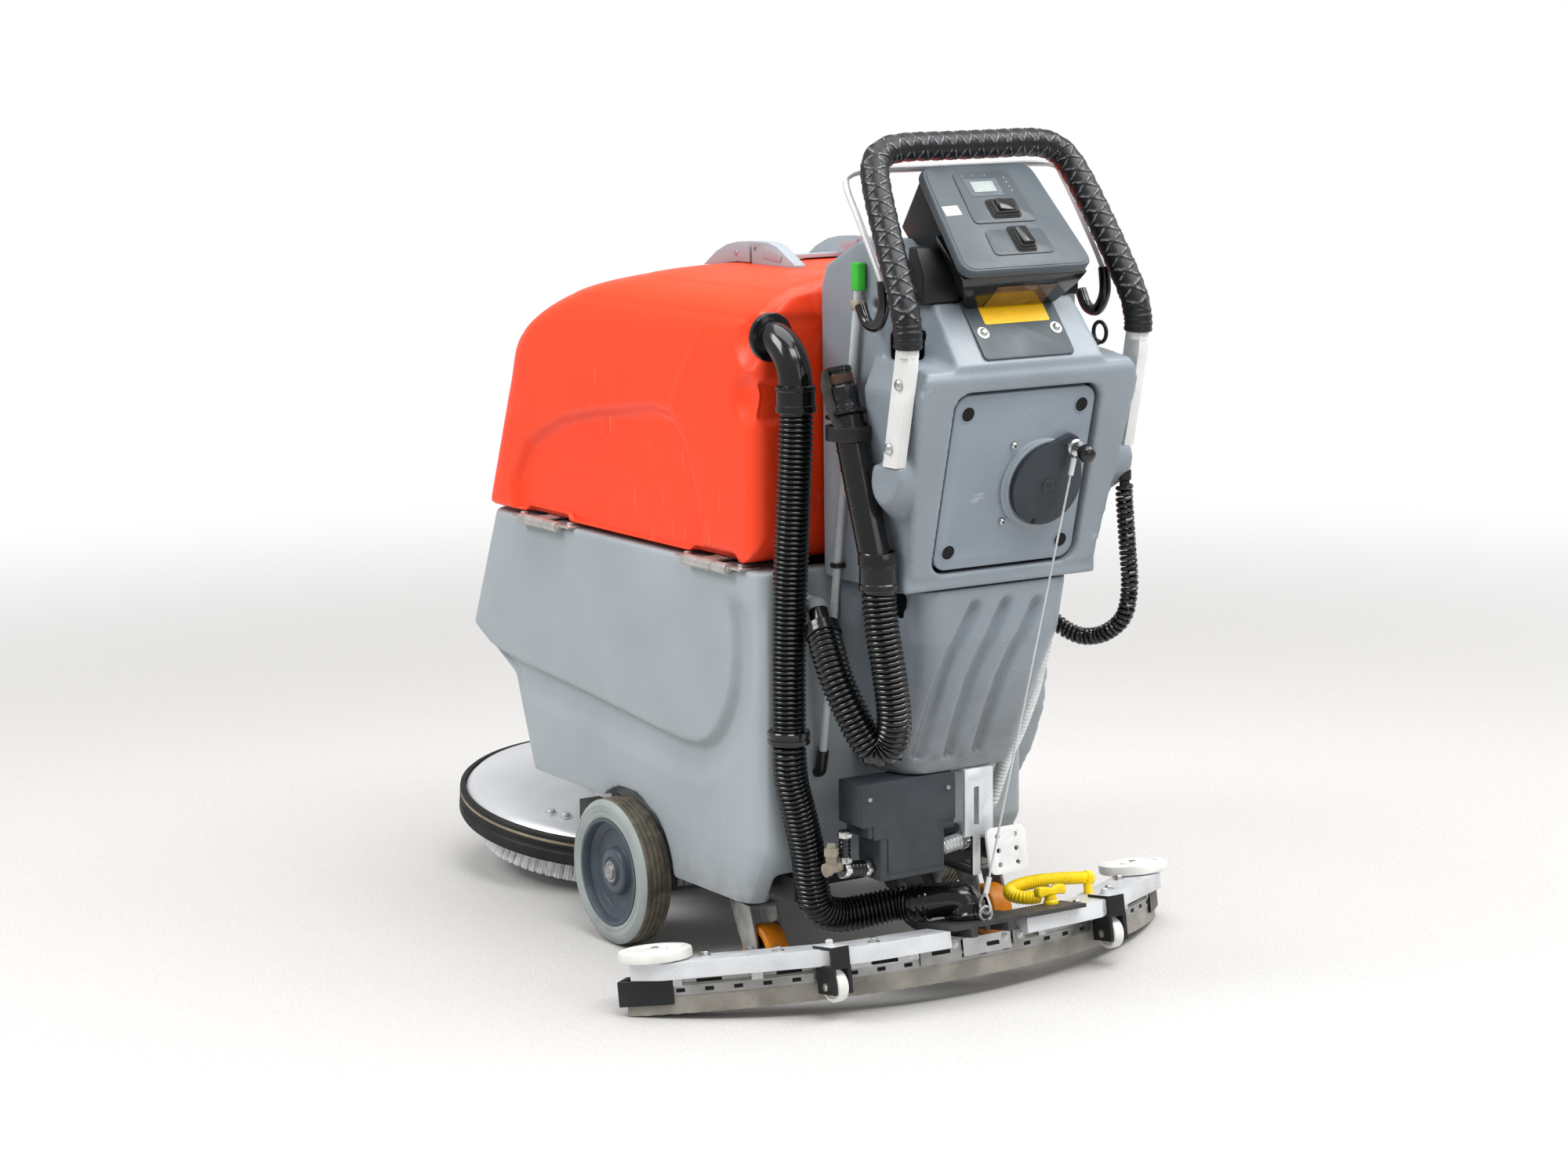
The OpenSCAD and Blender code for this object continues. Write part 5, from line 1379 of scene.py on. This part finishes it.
def curved(name, r0, r1, z0, z1, a0, a1, mat, wave=0.0, n=220, **kw):
    """A strip along the squeegee's curve between two angles, clear of the floor when raised."""
    verts = []
    for i in range(n + 1):
        a = deg(a0 + (a1 - a0) * i / n)
        low = z0 + wave * (0.5 + 0.5 * math.sin(a * 190))
        past = BLADE_CENTRE_Y - r1 * math.cos(a) - ARM_PIVOT[0]
        if past > 0:
            low = max(low, ARM_PIVOT[1] + (RAISE_SIN * past - (ARM_PIVOT[1] - FLOOR_GAP)) / RAISE_COS)
        verts += [squeegee(on_blade(r, a, z)) for r, z in ((r0, low), (r1, low), (r1, z1), (r0, z1))]
    return solid(name, verts, sleeve(n + 1, 4), mat, "squeegee", **kw)


def bumper_and_support(side, name):
    turned(name + "_bumper_v", [(5.1, 0.6), (20, 0.6), (21, 0), (43.6, 0), (46.2, 1.2), (47, 3.4),
        (47, 10.6), (46.2, 12.8), (43.6, 14), (34, 14), (33, 12.6), (17, 12), (16, 14), (5.1, 14)],
        (side * BUMPER_X, BUMPER_Y, 69), WHITE, 84, name + "_bumper_disc", closed=True,
        replaces=(name + "_bumper_disc",))
    turned(name + "_bumper_dot", [(0, 1.8), (3.6, 1.6), (4.8, 0.8), (4.8, 0)],
        (side * BUMPER_X, BUMPER_Y, 83.4), DULL_STEEL, 28)
    turned(name + "_support_v", mirrored([(3.1, -8), (9, -8), (9.4, -5.6), (14.6, -5.4), (15.4, -7.6),
        (18.6, -8), (20, -6.8), (20.5, -5)]), (side * SUPPORT_X, SUPPORT_Y, SUPPORT_Z), WHITE, 56,
        name + "_support_wheel", ACROSS, closed=True, replaces=(name + "_support_wheel",))
    for e in (-1, 1):
        turned("%s_support_nut_%d" % (name, e), [(0, 3.4), (3, 3.2), (5.6, 2.4), (5.6, 0), (0, 0)],
            (side * SUPPORT_X + e * 13.1, SUPPORT_Y, SUPPORT_Z), STEEL, 6, axis=(e, 0, 0), angle=20)
    for x, y in ((160, -466), (262, -402), (330, -336)):
        turned("%s_beam_bolt_%d" % (name, x), [(8.6, 0), (8.6, 1.2), (5.4, 1.3), (5.4, 5), (4.4, 6),
            (0, 6.2)], (side * x, y, 68.05), STEEL, 6, angle=20)


def port_ribs(run, total):
    return 22.2 if total - run > 22 else (23.6 if (total - run) % 9 < 6 else 22.6)


def horn_ribs(run, total):
    return 9.6 if run < 7 else 7.7 + 0.7 * math.cos(TAU * run / 3.6) + 1.0 * min(1.0, run / 90)


painted(refined("squeegee_frame", ALU, "squeegee", 1.6, 3, dissolve=3), BLACK, on_beam_ends)
refined("blade_channel", DULL_STEEL, "squeegee", 0.4, 1, dissolve=0.5)
refined("squeegee_end_caps", BLACK, "squeegee", 0.6, 1, dissolve=0.5)
curved("blade_rear", BLADE_R - 2.8, BLADE_R, 1.0, 39, -46.5, 46.5, BLADE, wave=0.8,
    replaces=("squeegee_blades",))
curved("blade_front", BLADE_R - 33, BLADE_R - 30.2, 1.0, 39, -46.5, 46.5, BLADE, wave=0.8)
curved("blade_strap", BLADE_R + 0.1, BLADE_R + 1.5, 25, 37, -45.6, 45.6, DULL_STEEL, n=160)
curved("channel_rim", BLADE_R - 8, BLADE_R - 4, 46.4, 48.4, -45.0, 45.0, DULL_STEEL, n=160)
# painted shade: dark strips in the blade strap's slots
for i in range(25):
    a = -43.2 + i * 3.6
    curved("strap_slot_%d" % i, BLADE_R + 1.45, BLADE_R + 1.75, 28.5, 33.5, a - 0.55, a + 0.55, SHADOW, n=4)
for i in range(9):
    a = -40 + i * 10
    curved("channel_clip_%d" % i, BLADE_R - 3.1, BLADE_R + 2.6, 36.6, 47.6, a - 0.7, a + 0.7, STEEL, n=6)
    # painted shade: a dark strip in each channel slot
    curved("channel_slot_%d" % i, BLADE_R - 3.2, BLADE_R - 2.7, 39.6, 43.6, a + 2.4, a + 5.6, SHADOW, n=6)
for side, name in SIDES:
    bumper_and_support(side, name)
turned("port_flange", [(17, 0), (24, 0), (25, 1), (25, 6.8), (24, 8), (23.2, 8), (22.8, 9.4), (22.8, 21),
    (22, 22), (17, 22)], (-1.5, -449.5, 73.1), GLOSS, 56, closed=True, replaces=("suction_port",))
tube("port_bend", PORT_BEND, port_ribs, GLOSS, "squeegee", sides=44, step=1.5, place=squeegee, angle=50)
for x, y in ((-22, -470), (22, -434)):
    turned("port_screw_%d" % x, [(0, 3.2), (3, 3), (4.4, 1.6), (4.4, 0)], (x * 0.95, y, 81), STEEL, 20)
turned("knob_stem", [(4, 0), (10, 0), (10, 3), (8.4, 5), (7.6, 12), (8.6, 14), (4, 14)],
    (KNOB_X, KNOB_Y, 73.1), YELLOW, 36, closed=True, replaces=("hand_knobs",))
prism("knob_wings", WING, lambda p: squeegee((p[0], KNOB_Y + p[2], p[1])), -6.4, 6.4, YELLOW, "squeegee",
    1.8, 3)
turned("knob_stud", [(4, 0), (4, 12.4), (3, 13.4), (0, 13.4)], (KNOB_X, KNOB_Y, 85), STEEL, 20)
tube("yellow_horn", HORN, horn_ribs, YELLOW, "squeegee", sides=32, step=0.45, place=squeegee, angle=60)
turned("yellow_foot", [(4, 0), (6, 0), (6, 14), (9, 17), (4, 17)], (228, -402, 68.1), YELLOW, 28,
    closed=True)
turned("yellow_end", [(0, 2.4), (6.4, 2), (9.8, 0), (9.8, -5), (0, -5)], (236.5, -398, 88), YELLOW, 36,
    axis=ACROSS)
for i, (a0, a1, past, z0, z1, mat) in enumerate(LATCHES):
    curved("latch_plate_%d" % i, BLADE_R + past - 1.4, BLADE_R + past, z0, z1, a0, a1, mat, n=24)
    outward = (math.sin(deg(a1)), -math.cos(deg(a1)), 0)
    turned("latch_bolt_%d" % i, [(5.4, 0), (5.4, 1), (3.4, 1.2), (3.4, 3.4), (2.6, 4), (0, 4.1)],
        on_blade(BLADE_R + past, deg(a1 - 0.9), z1 - 7), WIRE, 20, axis=outward)
# painted shade: dark strips in the latch plates' slots
for i, (a0, a1) in enumerate(((-15.6, -12.2), (-7.6, -5.0), (0.6, 2.4))):
    curved("latch_slot_%d" % i, BLADE_R + 4.6, BLADE_R + 4.9, 38, 43, a0, a1, SHADOW, n=8)
for s, tag in SIDES:
    turned("fork_bolt_" + tag, [(7.6, 0), (7.6, 1.4), (4.8, 1.6), (4.8, 6), (3.8, 7), (0, 7.2)],
        (s * SUPPORT_X, -452, 72.5), WIRE, 24)

# ---------------------------------------------------------------- CAD pieces shown as they are

coloured(NODES["batteries"], BLACK)
coloured(NODES["suction_motor"], BLACK)
